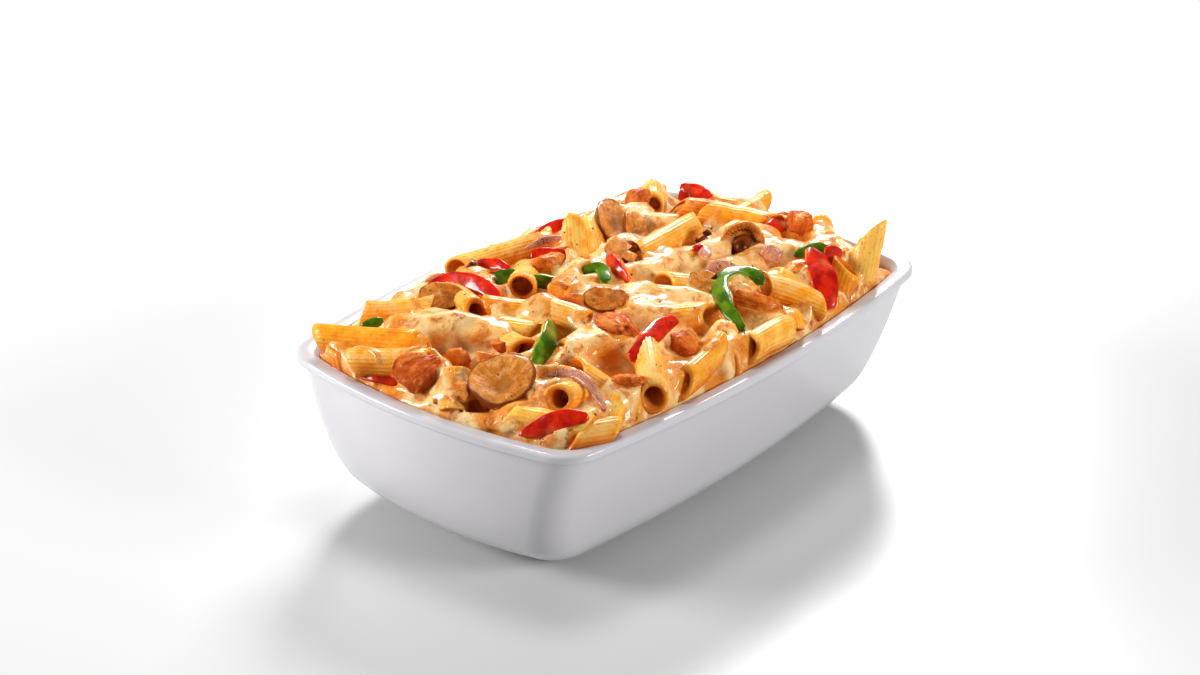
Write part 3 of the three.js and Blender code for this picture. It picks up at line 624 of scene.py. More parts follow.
def add_quill(shape, item, index, around=88, steps=11):
    """A ridged tube with a round-lipped slanted cut at both ends, and its own bend and dents."""
    tube = bent(item, index)
    outer = tube["radius"]
    inner = outer - QUILL_WALL * np.random.default_rng(index).uniform(0.8, 1.15)
    tip = 1 + CUT_ROUNDING / tube["half"]
    outside = [(s, outer) for s in np.linspace(-1, 1, steps)]
    outside = [(-tip, outer - OUTER_ROUNDING)] + outside + [(tip, outer - OUTER_ROUNDING)]
    inside = [(s, inner) for s in np.linspace(1, -1, 5)]
    inside = [(tip, inner + CUT_ROUNDING)] + inside + [(-tip, inner + CUT_ROUNDING)]
    turn = np.linspace(0, 2 * math.pi, around, endpoint=False)
    rings = []
    local = []
    hole = []
    for number, (s, radius) in enumerate(outside + inside):
        is_outer = number < len(outside)
        ridge = RIDGE_DEPTH * (0.5 + 0.5 * np.cos(QUILL_RIDGES * turn)) if is_outer else 0
        reach = radius - RIDGE_DEPTH / 2 + ridge
        u = reach * np.cos(turn)
        v = reach * np.sin(turn) * tube["squash"]
        length = s * tube["half"] + tube["slant"] * u
        bow = tube["bow"] * (1 - min(abs(s), 1) ** 2)
        points = tube["middle"] + np.outer(u + bow, tube["side"]) + np.outer(v, tube["across"])
        rings.append(points + np.outer(length, tube["axis"]))
        local.append(np.stack([turn * 5, length, np.full(around, index * 7.3)], 1))
        hole.append(np.full(around, 0.0 if is_outer else 1.0))
    flat = np.concatenate(rings)
    dent = 0.5 * lumps(flat, 9, tube["seed"]) + 0.2 * lumps(flat, 4, tube["seed"] + 1)
    centre = flat - tube["middle"]
    radial = centre - np.outer(centre @ tube["axis"], tube["axis"])
    flat = flat + radial / QUILL_RADIUS * dent[:, None]
    shape.add(
        flat,
        ring_faces(len(rings), around, closed=True),
        local=np.concatenate(local),
        hole=np.concatenate(hole),
        tone=item["tone"],
        film=np.clip((item["cover"] - BARE_COVER) / FILM_SPAN, 0, 1),
        lift=lift_of(flat),
    )


# ---- strips of pepper and onion


def smooth_path(spots, count):
    """Even points along a smooth curve through the spots, their unit tangents and distances."""
    knots = np.array([placed(spot) for spot in spots])
    knots = np.concatenate([[2 * knots[0] - knots[1]], knots, [2 * knots[-1] - knots[-2]]])
    pieces = []
    for i in range(1, len(knots) - 2):
        a, b, c, d = knots[i - 1 : i + 3]
        t = np.linspace(0, 1, 20, endpoint=False)[:, None]
        curve = 2 * b + (c - a) * t + (2 * a - 5 * b + 4 * c - d) * t**2
        pieces.append((curve + (3 * b - a - 3 * c + d) * t**3) / 2)
    pieces.append(knots[-2:-1])
    fine = np.concatenate(pieces)
    length = np.append(0, np.cumsum(np.linalg.norm(np.diff(fine, axis=0), axis=1)))
    even = np.linspace(0, length[-1], count)
    points = np.stack([np.interp(even, length, fine[:, k]) for k in range(3)], 1)
    tangents = np.gradient(points, axis=0)
    return points, tangents / np.linalg.norm(tangents, axis=1)[:, None], even


def build_strip(item, seed, name, material, slot, curl=0.5):
    """A band with a rounded section, its skin bulging out and its ends torn off unevenly.

    `curl` is how far the skin bulges.
    """
    count = 30
    around = 40
    squareness = 0.3
    end_share = 0.8
    points, tangents, even = smooth_path(item["path"], count)
    random = np.random.default_rng(seed)
    turn = np.linspace(0, 2 * math.pi, around, endpoint=False)
    across = np.sign(np.cos(turn)) * np.abs(np.cos(turn)) ** squareness
    depth = np.sign(np.sin(turn)) * np.abs(np.sin(turn)) ** squareness
    rings = []
    local = []
    for i in range(count):
        share = 2 * i / (count - 1) - 1
        before, after = (max(1 - (1 + way * share) / end_share, 0) ** 1.5 for way in (1, -1))
        taper = 1 - (1 - item["ends"][0]) * before - (1 - item["ends"][1]) * after
        taper = taper * math.sqrt(max(1 - abs(share) ** 30, 0.0)) + 0.04
        normal = square_to(tangents[i], item["face"])
        side = np.cross(normal, tangents[i])
        w = across * (item["width"] / 2 * taper)
        bulge = curl * (1 - across**2) * item["width"] / 6
        n = depth * (item["thick"] / 2 * min(taper + 0.15, 1)) + bulge
        rings.append(points[i] + np.outer(w, side) + np.outer(n, normal))
        local.append(np.stack([np.full(around, even[i]), w, n], 1) + random.uniform(0, 50))
    flat = with_hubs(np.array(rings))
    warp = lumps(flat, 7, seed)[:, None] * 0.6 * unit(item["face"]) + 0.25 * shake(flat, 2.6, seed + 1)
    skin = [0.5 + 0.5 * depth] * count
    return make_piece(
        name,
        material,
        slot,
        flat,
        ring_faces(count, around),
        warp,
        local=with_ends(local),
        skin=with_ends(skin),
    )


# ---- mushrooms


def slice_outline(length, width, stem, count=72):
    """The cut face of a mushroom: its stem along x from 0, and its cap out to `length`.

    Without a stem it is an oval, a little wider on the far side.
    """
    half = width / 2
    if stem == 0:
        turn = np.linspace(0, 2 * math.pi, count, endpoint=False)
        out = length / 2 * (1 + np.cos(turn))
        return np.stack([out, half * np.sin(turn) * (1 + 0.18 * np.cos(turn))], 1)
    brim = length * stem
    stalk = width * 0.19
    undercut = 0.55
    turn = np.linspace(-undercut * math.pi, undercut * math.pi, count * 2 // 3)
    cap = np.stack([brim + (length - brim) * np.cos(turn), half * np.sin(turn)], 1)
    steps = count // 6
    rise = np.linspace(0, 1, steps, endpoint=False)[:, None]
    corner_out = np.array([brim * 0.97, stalk])
    foot_out = np.array([0.0, stalk * 1.25])
    neck = cap[-1] + (corner_out - cap[-1]) * rise[1:]
    upper = np.concatenate([neck, corner_out + (foot_out - corner_out) * rise])
    lower = upper[::-1] * [1, -1]
    return np.concatenate([cap, upper, lower])


def slice_frame(item):
    """A slice's foot and top, and its directions: along it, across it and out of its face."""
    foot = placed(item["foot"])
    top = placed(item["top"])
    axis = unit(top - foot)
    normal = square_to(axis, item["face"])
    return foot, top, (axis, np.cross(normal, axis), normal)


def build_slice(item, seed, name, material, slot):
    """A thick slice, its faces a little sunken, its rim rounded, and all of it warped."""
    foot, top, (axis, side, normal) = slice_frame(item)
    length = np.linalg.norm(top - foot)
    outline = slice_outline(length, item["width"], item["stem"])
    hub = np.array([length * (item["stem"] * 1.1 if item["stem"] else 0.3), 0.0])
    dip = item["hollow"]
    front = [(0.12, 0.86 - dip), (0.3, 0.84 - dip / 2), (0.55, 0.88), (0.72, 0.96)]
    front += [(0.86, 1.0), (0.94, 0.93), (0.985, 0.7)]
    profile = [(share, -depth) for share, depth in front] + [(1.0, 0.0)]
    profile += [(share, depth) for share, depth in reversed(front)]
    rings = []
    local = []
    for share, depth in profile:
        flat = hub + (outline - hub) * share
        cut = foot + np.outer(flat[:, 0], axis) + np.outer(flat[:, 1], side)
        rings.append(cut + depth * (item["thick"] / 2) * normal)
        fan = np.arctan2(flat[:, 1] - hub[1], flat[:, 0] - hub[0]) * item["width"] / 2
        local.append(np.column_stack([fan, np.full(len(flat), seed + share * 6), np.full(len(flat), share)]))
    points = with_hubs(np.array(rings))
    warp = lumps(points, 9, seed)[:, None] * 1.8 * normal + 0.5 * shake(points, 3, seed + 1)
    faces = ring_faces(len(profile), len(outline))
    return make_piece(name, material, slot, points, faces, warp, local=with_ends(local))


# The cap's rings from its top to its stem: shares of its radius and height. GILL_RINGS are the
# ones between brim and stem.
CAP_PROFILE = (
    (0.12, -0.98), (0.35, -0.93), (0.6, -0.78), (0.82, -0.52), (0.96, -0.22),
    (1.0, 0.02), (0.95, 0.14), (0.86, 0.1), (0.7, -0.05), (0.52, -0.16),
    (0.4, -0.12), (0.34, 0.1), (0.3, 0.2), (0.2, 0.12), (0.08, -0.02),
)
GILL_RINGS = range(7, 11)
GILLS = 30


def cap_axes(item):
    """The directions of a cap: where its gills face, and two square to that."""
    direction = unit(item["face"])
    side = square_to(direction, UP)
    return direction, side, np.cross(direction, side)


def build_cap(item, seed, name, material, slot):
    """A cap seen from its gills, with the cut stem in the middle."""
    direction, side, other = cap_axes(item)
    around = 96
    turn = np.linspace(0, 2 * math.pi, around, endpoint=False)
    rings = []
    local = []
    for number, (share, rise) in enumerate(CAP_PROFILE):
        groove = 0.35 * np.cos(GILLS * turn) if number in GILL_RINGS else 0
        out = share * item["radius"] * (1 + 0.06 * np.cos(2 * turn + 1))
        u = out * np.cos(turn)
        v = out * np.sin(turn)
        lift = (rise * item["height"] + groove) * np.ones(around)
        flat = placed(item["at"]) + np.outer(u, side) + np.outer(v, other)
        rings.append(flat + np.outer(lift, direction))
        local.append(np.stack([u, v, np.full(around, min(number / 9, 1))], 1))
    points = with_hubs(np.array(rings))
    warp = 0.5 * shake(points, 4, seed)
    faces = ring_faces(len(CAP_PROFILE), around)
    return make_piece(name, material, slot, points, faces, warp, local=with_ends(local))


# ---- chicken


def chunk_axes(item):
    """The directions of a chunk's length, width and height."""
    yaw = math.radians(item["yaw"])
    pitch = math.radians(item["pitch"])
    length = np.array([math.cos(yaw) * math.cos(pitch), math.sin(yaw) * math.cos(pitch), math.sin(pitch)])
    width = np.array([-math.sin(yaw), math.cos(yaw), 0])
    return length, width, np.cross(length, width)


def torn(points, size, seed):
    """The points pressed onto a few random planes, as on a block that was torn off."""
    random = np.random.default_rng(seed)
    half = np.array(size) / 2
    for _ in range(9):
        direction = unit(random.normal(size=3))
        reach = np.linalg.norm(direction * half) * random.uniform(0.5, 0.85)
        over = np.maximum(points @ direction - reach, 0)
        points = points - np.outer(over * 0.9, direction)
    return points


def build_chunk(item, seed, name, material, slot, around=88):
    """A blunt torn block with ridges of fibre running along it."""
    stack = around * 2 // 3
    latitude = np.linspace(0.02, math.pi - 0.02, stack)[:, None]
    longitude = np.linspace(0, 2 * math.pi, around, endpoint=False)[None, :]
    across = np.sin(latitude) * np.cos(longitude)
    deep = np.sin(latitude) * np.sin(longitude)
    ball = np.stack([across, deep, -np.cos(latitude) * np.ones_like(longitude)], -1)
    block = np.sign(ball) * np.abs(ball) ** 0.45 * np.array(item["size"]) / 2 * 1.05
    flat = torn(with_hubs(block), item["size"], seed)
    outward = flat / np.linalg.norm(flat, axis=1)[:, None]
    fibre = (flat + 1.5 * shake(flat, 7, seed + 5)) * [0.3, 1, 1]
    swell = 0.8 * lumps(flat, 6, seed) + 0.3 * lumps(flat, 1.6, seed + 1)
    swell = swell + 0.7 * (0.4 - np.abs(lumps(fibre, 2.8, seed + 2)))
    swell = swell + 0.6 * (0.4 - np.abs(lumps(fibre, 1.3, seed + 3)))
    flat = flat + outward * swell[:, None]
    return make_piece(
        name,
        material,
        slot,
        placed(item["at"]) + flat @ np.stack(chunk_axes(item)),
        ring_faces(stack, around),
        local=flat,
        # The bumps' heights, for the painted highlights and painted shade in the chicken's colour.
        crease=np.clip(swell, -1, 1),
        tone=item["tone"],
    )


# ---- melted cheese and sauce


class Grid:
    """A box of evenly spaced points in which distances to the food are added up."""

    def __init__(self, low, high):
        self.low = np.array(low, float)
        self.high = np.array(high, float)
        self.shape = tuple(np.ceil((self.high - self.low) / CELL).astype(int) + 1)
        self.lines = [self.low[k] + CELL * np.arange(self.shape[k]) for k in range(3)]

    def window(self, low, high):
        """The part of the grid between two corners: its slices and its x, y and z."""
        first = np.maximum(np.floor((low - self.low) / CELL).astype(int), 0)
        last = np.minimum(np.ceil((high - self.low) / CELL).astype(int) + 1, self.shape)
        slices = tuple(slice(a, max(a, b)) for a, b in zip(first, last))
        x, y, z = (self.lines[k][slices[k]] for k in range(3))
        return slices, (x[:, None, None], y[None, :, None], z[None, None, :])

    def whole(self):
        """The x, y and z of all the grid."""
        return self.window(self.low, self.high)[1]

    def sample(self, values, points):
        """Values between the grid's points, by straight interpolation."""
        scaled = np.clip((points - self.low) / CELL, 0, np.array(self.shape) - 1.001)
        low = scaled.astype(int)
        total = 0
        for corner, weight in corner_weights(scaled - low):
            total = total + weight * values[tuple((low + corner).T)]
        return total


def along(coordinates, origin, direction):
    """How far each point of a window lies from `origin` along `direction`."""
    return sum((coordinates[k] - origin[k]) * direction[k] for k in range(3))


def quill_distance(coordinates, tube):
    """How far points are outside a tube, taken as solid; inside it, less than 0."""
    s = along(coordinates, tube["middle"], tube["axis"])
    bow = tube["bow"] * (1 - np.minimum(np.abs(s) / tube["half"], 1) ** 2)
    u = along(coordinates, tube["middle"], tube["side"]) - bow
    v = along(coordinates, tube["middle"], tube["across"]) / tube["squash"]
    beyond = np.hypot(u, v) - tube["radius"]
    past_end = np.abs(s - tube["slant"] * np.clip(u, -5, 5)) - tube["half"]
    outside = np.hypot(np.maximum(beyond, 0), np.maximum(past_end, 0))
    return outside + np.minimum(np.maximum(beyond, past_end), 0)


def ball_distance(coordinates, ball):
    """How far points are outside a ball."""
    return np.sqrt(sum((coordinates[k] - ball["middle"][k]) ** 2 for k in range(3))) - ball["radius"]


def pool_distance(coordinates, item):
    """Nearly the distance to a flat round cushion."""
    x, y, z = (coordinates[k] - item["middle"][k] for k in range(3))
    spread = np.sqrt((x * x + y * y) / item["reach"] ** 2 + z * z / item["thick"] ** 2)
    return (spread - 1) * item["thick"]


def block_distance(coordinates, block):
    """How far points are outside a block with rounded edges."""
    corner = block["round"]
    parts = [
        np.abs(along(coordinates, block["middle"], axis)) - (half - corner)
        for axis, half in zip(block["axes"], block["halves"])
    ]
    outside = np.sqrt(sum(np.maximum(part, 0) ** 2 for part in parts))
    return outside + np.minimum(np.maximum(np.maximum(parts[0], parts[1]), parts[2]), 0) - corner


def strip_blocks(item, spacing=5, part=(0, 1)):
    """Short blocks that stand for a part of a strip along its path."""
    steps = 48
    points, _, even = smooth_path(item["path"], steps + 1)
    count = max(int(even[-1] * (part[1] - part[0]) / spacing), 1)
    ends = np.linspace(steps * part[0], steps * part[1], count + 1).astype(int)
    for a, b in zip(ends, ends[1:]):
        middle = points[(a + b) // 2]
        tangent = unit(points[b] - points[a])
        normal = square_to(tangent, item["face"])
        halves = (np.linalg.norm(points[b] - points[a]) / 2 + 0.5, item["width"] / 2, item["thick"] / 2)
        yield dict(middle=middle, axes=(tangent, np.cross(normal, tangent), normal), halves=halves, round=1.2)


def solid_things():
    """Everything that the cheese lies on: a distance function, its bounds and its cover."""
    for index, item in enumerate(QUILLS):
        tube = bent(item, index)
        reach = tube["half"] + 2 * tube["radius"]
        yield quill_distance, tube, tube["middle"], reach, item["cover"]
        for outward, end in ((tube["axis"], "end"), (-tube["axis"], "start")):
            if item["open_end"] != end:
                mouth = tube["middle"] + outward * (tube["half"] - 2.5)
                yield ball_distance, dict(middle=mouth, radius=tube["radius"] - 0.7), mouth, 5, item["cover"]
    for item in POOLS + filling():
        middle = placed(item["spot"])
        yield pool_distance, dict(item, middle=middle), middle, item["reach"], 0.3
    for item in RED_PEPPERS + GREEN_PEPPERS + ONIONS:
        for block in strip_blocks(item):
            yield block_distance, block, block["middle"], max(block["halves"]), TOPPING_COVER
    for item in MUSHROOMS:
        foot, top, axes = slice_frame(item)
        length = np.linalg.norm(top - foot)
        stem = length * item["stem"]
        half = (length - stem) / 2
        middle = foot + axes[0] * (stem + half)
        halves = (half, item["width"] / 2 * 0.9, item["thick"] / 2)
        block = dict(middle=middle, axes=axes, halves=halves, round=1.4)
        yield block_distance, block, middle, max(halves), TOPPING_COVER
    axes = cap_axes(CAP)
    middle = placed(CAP["at"]) - axes[0] * CAP["height"] / 2
    halves = (CAP["height"] / 2, CAP["radius"] * 0.85, CAP["radius"] * 0.85)
    block = dict(middle=middle, axes=axes, halves=halves, round=3.5)
    yield block_distance, block, middle, CAP["radius"], TOPPING_COVER
    for item in CHICKEN:
        halves = np.array(item["size"]) / 2 * 0.84
        block = dict(middle=placed(item["at"]), axes=chunk_axes(item), halves=halves, round=min(halves) * 0.6)
        yield block_distance, block, block["middle"], max(halves), item["cover"]


def holes():
    """The open ends that the cheese leaves free, from inside the tube to in front of it."""
    for index, item in enumerate(QUILLS):
        if item["open_end"] is None:
            continue
        tube = bent(item, index)
        outward = tube["axis"] if item["open_end"] == "end" else -tube["axis"]
        mouth = tube["middle"] + outward * tube["half"]
        yield mouth - outward * 7, mouth + outward * 3.5, tube["radius"] - 0.9


def clearings():
    """The room over each topping that the cheese leaves free: blocks that start inside it."""
    rise = 4.5
    for item in RED_PEPPERS + GREEN_PEPPERS + ONIONS:
        for block in strip_blocks(item, part=item["bare"]):
            length, width, thick = block["halves"]
            yield dict(
                middle=block["middle"] + block["axes"][2] * (rise + thick * 0.1),
                axes=block["axes"],
                halves=(length + 0.5, width + 0.2, rise),
                round=1.5,
            )
    for item in MUSHROOMS:
        foot, top, axes = slice_frame(item)
        middle = (foot + top) / 2 + axes[2] * (rise + item["thick"] * 0.2)
        halves = (np.linalg.norm(top - foot) / 2, item["width"] / 2, rise)
        yield dict(middle=middle, axes=axes, halves=halves, round=3)
    for item in CHICKEN:
        length, width, height = np.array(item["size"]) / 2
        axes = chunk_axes(item)
        middle = placed(item["at"]) + axes[2] * (height + 1)
        if item["cover"] < -0.6:
            yield dict(middle=middle, axes=axes, halves=(length, width, height + 1), round=4)


def outline_distance(x, y, outline):
    """How far points lie outside a closed outline; inside it, less than 0."""
    best = np.full(np.broadcast(x, y).shape, 1e9)
    inside = np.zeros(best.shape, bool)
    for (ax, ay), (bx, by) in zip(outline, np.roll(outline, -1, axis=0)):
        ex, ey = bx - ax, by - ay
        share = np.clip(((x - ax) * ex + (y - ay) * ey) / (ex * ex + ey * ey), 0, 1)
        best = np.minimum(best, np.hypot(x - ax - share * ex, y - ay - share * ey))
        crosses = (ay > y) != (by > y)
        inside ^= crosses & (x < ax + (y - ay) * ex / (ey if ey else 1e-9))
    return np.where(inside, -best, best)


def surface_net(values, grid):
    """A closed mesh of quads where the values pass 0; inside, they are below it."""
    inside = values < 0
    corners = [
        inside[i : i - 1 or None, j : j - 1 or None, k : k - 1 or None]
        for i, j, k in np.ndindex(2, 2, 2)
    ]
    number = sum(corner.astype(np.int8) for corner in corners)
    cells = np.argwhere((number > 0) & (number < 8))
    label = np.full(number.shape, -1, int)
    label[tuple(cells.T)] = np.arange(len(cells))
    total = np.zeros((len(cells), 3))
    hits = np.zeros(len(cells))
    for corner in np.ndindex(2, 2, 2):
        for axis in range(3):
            if corner[axis]:
                continue
            start = cells + corner
            end = start.copy()
            end[:, axis] += 1
            a = values[tuple(start.T)]
            b = values[tuple(end.T)]
            crossed = (a < 0) != (b < 0)
            share = np.where(crossed, a / np.where(crossed, a - b, 1), 0)
            spot = start.astype(float)
            spot[:, axis] += share
            total += spot * crossed[:, None]
            hits += crossed
    points = grid.low + CELL * total / hits[:, None]
    quads = []
    for axis in range(3):
        first, second = (axis + 1) % 3, (axis + 2) % 3
        head = [slice(None)] * 3
        tail = [slice(None)] * 3
        head[axis] = slice(0, -1)
        tail[axis] = slice(1, None)
        a = inside[tuple(head)]
        b = inside[tuple(tail)]
        edges = np.argwhere(a != b)
        edges = edges[(edges[:, first] > 0) & (edges[:, second] > 0)]
        ring_cells = []
        for back_first, back_second in ((1, 1), (0, 1), (0, 0), (1, 0)):
            cell = edges.copy()
            cell[:, first] -= back_first
            cell[:, second] -= back_second
            ring_cells.append(label[tuple(cell.T)])
        quad = np.stack(ring_cells, 1)
        flip = ~a[tuple(edges.T)]
        quad[flip] = quad[flip][:, ::-1]
        quads.append(quad)
    return points, np.concatenate(quads)


def largest_part(points, quads):
    """The connected part with the most points, without the specks that float beside it."""
    label = np.arange(len(points))
    settled = False
    while not settled:
        lower = label.copy()
        np.minimum.at(lower, quads.ravel(), np.repeat(label[quads].min(1), 4))
        lower = lower[lower]
        settled = (lower == label).all()
        label = lower
    keep = label == np.bincount(label).argmax()
    number = np.cumsum(keep) - 1
    return points[keep], number[quads[keep[quads[:, 0]]]]


def relaxed(points, quads, rounds, strength=0.5):
    """The points moved towards the average of their neighbours."""
    pairs = np.concatenate([quads[:, [k, (k + 1) % 4]] for k in range(4)])
    for _ in range(rounds):
        total = np.zeros_like(points)
        count = np.zeros(len(points))
        for a, b in ((0, 1), (1, 0)):
            for k in range(3):
                total[:, k] += np.bincount(pairs[:, a], points[pairs[:, b], k], len(points))
            count += np.bincount(pairs[:, a], minlength=len(points))
        points = points + strength * (total / count[:, None] - points)
    return points


def core_height(x, y, wall):
    """The level of sauce and cheese between the tubes; it falls to the dish's inner edge."""
    return np.minimum(layer_height(x, y) - CORE_DROP, -0.8 - 0.85 * wall)


def skin_field(grid, wall):
    """How far each point of the grid is outside the skin, and how far from the nearest food.

    The distances to all the food are blended, and the skin lies a cover's thickness outside.
    """
    x, y, z = grid.whole()
    spots = np.stack(np.broadcast_arrays(x, y, 0 * x * y), -1)[:, :, 0]
    level = core_height(x, y, wall) + 1.3 * lumps(spots, 13, 1)[..., None]
    level = level + 0.7 * lumps(spots, 5, 2)[..., None]
    nearest = np.broadcast_to((z - level) * 0.9, grid.shape).copy()
    total = np.exp(-nearest.clip(-20, 20) / MELT_BLEND)
    weight = np.full(grid.shape, 1e-3)
    cover = np.full(grid.shape, 2e-4)
    for distance, thing, middle, reach, thickness in solid_things():
        slices, coordinates = grid.window(middle - reach - FOOD_MARGIN, middle + reach + FOOD_MARGIN)
        away = distance(coordinates, thing)
        total[slices] += np.exp(-away.clip(-20, 40) / MELT_BLEND)
        nearest[slices] = np.minimum(nearest[slices], away)
        share = np.exp(-np.maximum(away, -1) / 1.5)
        weight[slices] += share
        cover[slices] += share * thickness
    points = np.stack(np.broadcast_arrays(x, y, z), -1)
    patches = MELT_SHIFT + 1.3 * lumps(points, 13, 3) + 0.6 * lumps(points, 6, 4)
    return -MELT_BLEND * np.log(total) - cover / weight - patches, nearest


def trimmed(values, grid, wall):
    """The skin's field with open tubes and toppings cut free, and cut off at wall and bottom."""
    for start, end, radius in holes():
        low = np.minimum(start, end) - HOLE_MARGIN
        slices, coordinates = grid.window(low, np.maximum(start, end) + HOLE_MARGIN)
        axis = unit(end - start)
        s = along(coordinates, start, axis).clip(0, np.linalg.norm(end - start))
        away = np.sqrt(sum((coordinates[k] - start[k] - s * axis[k]) ** 2 for k in range(3)))
        values[slices] = np.maximum(values[slices], radius - away)
    for block in clearings():
        reach = max(block["halves"]) + CLEARING_MARGIN
        slices, coordinates = grid.window(block["middle"] - reach, block["middle"] + reach)
        values[slices] = np.maximum(values[slices], -block_distance(coordinates, block))
    z = grid.whole()[2]
    values = np.maximum(values, wall - WALL_OVERLAP + EDGE_SLOPE * np.maximum(z - 0.5, 0))
    return np.maximum(values, MELT_BOTTOM - z)


def melt(material):
    """Cheese and sauce over everything: one skin that fills the hollows and drapes the rest.

    Under it lies a plain core down to the floor of the dish. `high` is how far the skin stands
    over the level around it, and `thick` how far it is from the nearest food.
    """
    grid = Grid(MELT_LOW, MELT_HIGH)
    x, y, _ = grid.whole()
    wall = outline_distance(x[..., 0], y[..., 0], inner_ring(INSIDE_TOP)[:, :2])[..., None]
    values, nearest = skin_field(grid, wall)
    skin, quads = largest_part(*surface_net(trimmed(values, grid, wall), grid))
    skin = relaxed(skin, quads, 2)
    top = np.full(grid.shape[:2], MELT_BOTTOM)
    columns = tuple(((skin[:, :2] - grid.low[:2]) / CELL).round().astype(int).T)
    np.maximum.at(top, columns, skin[:, 2])
    high = skin[:, 2] - blurred(top, round(LEVEL_SPREAD / CELL))[columns]
    wrinkle = 0.35 * shake(skin, 3.2, 40) + 0.18 * shake(skin, 1.7, 50)
    shape = Shape()
    shape.add(skin + wrinkle, quads, thick=grid.sample(nearest, skin), high=high)
    heights = np.linspace(-RIM + FLOOR + 0.3, MELT_BOTTOM + 1.5, 12)
    base = np.array([ring(inner_ring(z)[:, :2] * BASE_FIT, z) for z in heights])
    shape.add(with_hubs(base), ring_faces(*base.shape[:2]), thick=1.0, high=0.0)
    cheese = shape.make("melted_cheese", material, "pasta_and_cheese")
    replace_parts(cheese, "pasta_heap")
    return cheese


def blurred(values, radius):
    """A map averaged over a square of cells, twice along each way."""
    kernel = np.ones(2 * radius + 1) / (2 * radius + 1)
    for _ in range(2):
        for axis in (0, 1):
            padded = np.pad(values, [(radius, radius) if k == axis else (0, 0) for k in (0, 1)], mode="edge")
            values = np.apply_along_axis(lambda line: np.convolve(line, kernel, "valid"), axis, padded)
    return values


# ---- materials


class Nodes:
    """A material's node tree, with short calls for the nodes used here."""

    def __init__(self, name, **settings):
        self.material = bpy.data.materials.new(name)
        self.material.use_nodes = True
        self.tree = self.material.node_tree
        self.shader = self.tree.nodes["Principled BSDF"]
        for label, value in settings.items():
            self.shader.inputs[label.replace("_", " ")].default_value = value
        spot = self.node("ShaderNodeTexCoord").outputs["Object"]
        self.place = self.scaled(spot, (1 / MM, 1 / MM, 1 / MM))

    def node(self, kind, inputs=None, **settings):
        made = self.tree.nodes.new(kind)
        for label, value in settings.items():
            setattr(made, label, value)
        for label, value in (inputs or {}).items():
            self.put(made.inputs[label], value)
        return made

    def put(self, socket, value):
        if isinstance(value, bpy.types.NodeSocket):
            self.tree.links.new(value, socket)
        else:
            socket.default_value = value

    def scaled(self, vector, scale):
        made = self.node("ShaderNodeVectorMath", {0: vector, 1: scale}, operation="MULTIPLY")
        return made.outputs[0]

    def attribute(self, name, output="Fac"):
        return self.node("ShaderNodeAttribute", attribute_name=name).outputs[output]

    def noise(self, size, detail=3.0, roughness=0.55, distortion=0.0, vector=None):
        """Noise with lumps of about `size` millimetres, or of the vector's own units."""
        inputs = {"Vector": vector or self.place, "Scale": 1 / size, "Detail": detail}
        inputs.update({"Roughness": roughness, "Distortion": distortion})
        return self.node("ShaderNodeTexNoise", inputs).outputs["Fac"]

    def grain(self, stretch, size, detail=3.0, roughness=0.55):
        """Noise that runs with the piece: `stretch` scales the attribute `local`."""
        vector = self.scaled(self.attribute("local", "Vector"), stretch)
        return self.noise(size, detail, roughness, vector=vector)

    def ramp(self, value, low, high, to_low=0.0, to_high=1.0):
        inputs = {"Value": value, "From Min": low, "From Max": high, "To Min": to_low, "To Max": to_high}
        return self.node("ShaderNodeMapRange", inputs, interpolation_type="SMOOTHSTEP").outputs[0]

    def math(self, operation, a, b=0.0):
        return self.node("ShaderNodeMath", {0: a, 1: b}, operation=operation).outputs[0]

    def mix(self, share, a, b):
        """Two colours mixed. A colour mix has its inputs at 0, 6 and 7, and its output at 2."""
        made = self.node("ShaderNodeMix", data_type="RGBA")
        for index, value in ((0, share), (6, a), (7, b)):
            self.put(made.inputs[index], value)
        return made.outputs[2]

    def layers(self, colour, *steps):
        """The colour under tints. Each step is a ramp's value, range and results, and its tint."""
        for *ramp, tint in steps:
            colour = self.mix(self.ramp(*ramp), colour, tint)
        return colour

    def product(self, first, *others):
        """The values multiplied with each other."""
        for other in others:
            first = self.math("MULTIPLY", first, other)
        return first

    def bump(self, height, strength, distance, normal=None):
        inputs = {"Height": height, "Strength": strength, "Distance": distance}
        if normal is not None:
            inputs["Normal"] = normal
        return self.node("ShaderNodeBump", inputs).outputs["Normal"]

    def finish(self, colour, roughness=None, normal=None):
        self.put(self.shader.inputs["Base Color"], colour)
        if roughness is not None:
            self.put(self.shader.inputs["Roughness"], roughness)
        if normal is not None:
            self.put(self.shader.inputs["Normal"], normal)
        return self.material


def rgb(red, green, blue):
    """A colour given as it looks on screen, 0 to 255, in the linear values that shaders use."""
    linear = [((c / 255 + 0.055) / 1.055) ** 2.4 if c > 10 else c / 3294.6 for c in (red, green, blue)]
    return (*linear, 1.0)


SKIN_SCATTER = (1.0, 0.6, 0.3)


def food_nodes(name, coat, coat_roughness, scatter=0.0, depth=0.0015):
    """The nodes of a moist piece of food, with light scattered `depth` metres deep."""
    return Nodes(
        name,
        Coat_Weight=coat,
        Coat_Roughness=coat_roughness,
        Subsurface_Weight=scatter,
        Subsurface_Radius=SKIN_SCATTER,
        Subsurface_Scale=depth,
        Specular_IOR_Level=0.08,
    )


def glaze_material():
    nodes = Nodes("white_glaze", Coat_Weight=0.25, Coat_Roughness=0.05, Specular_IOR_Level=0.25)
    cloud = nodes.noise(60, 2.0)
    colour = nodes.mix(cloud, rgb(197, 195, 199), rgb(203, 201, 204))
    ripple = nodes.noise(22, 1.0)
    return nodes.finish(colour, nodes.ramp(cloud, 0.3, 0.7, 0.13, 0.2), nodes.bump(ripple, 0.12, 0.001))


CREAM = rgb(236, 186, 108)
PALE_CREAM = rgb(246, 212, 150)
# Deep between the pieces: the sauce tint is partly the sauce's own colour and partly painted shade, and the
# pit tint is painted shade.
SAUCE_AND_SHADE = rgb(196, 84, 10)
PIT_SHADE = rgb(92, 32, 4)


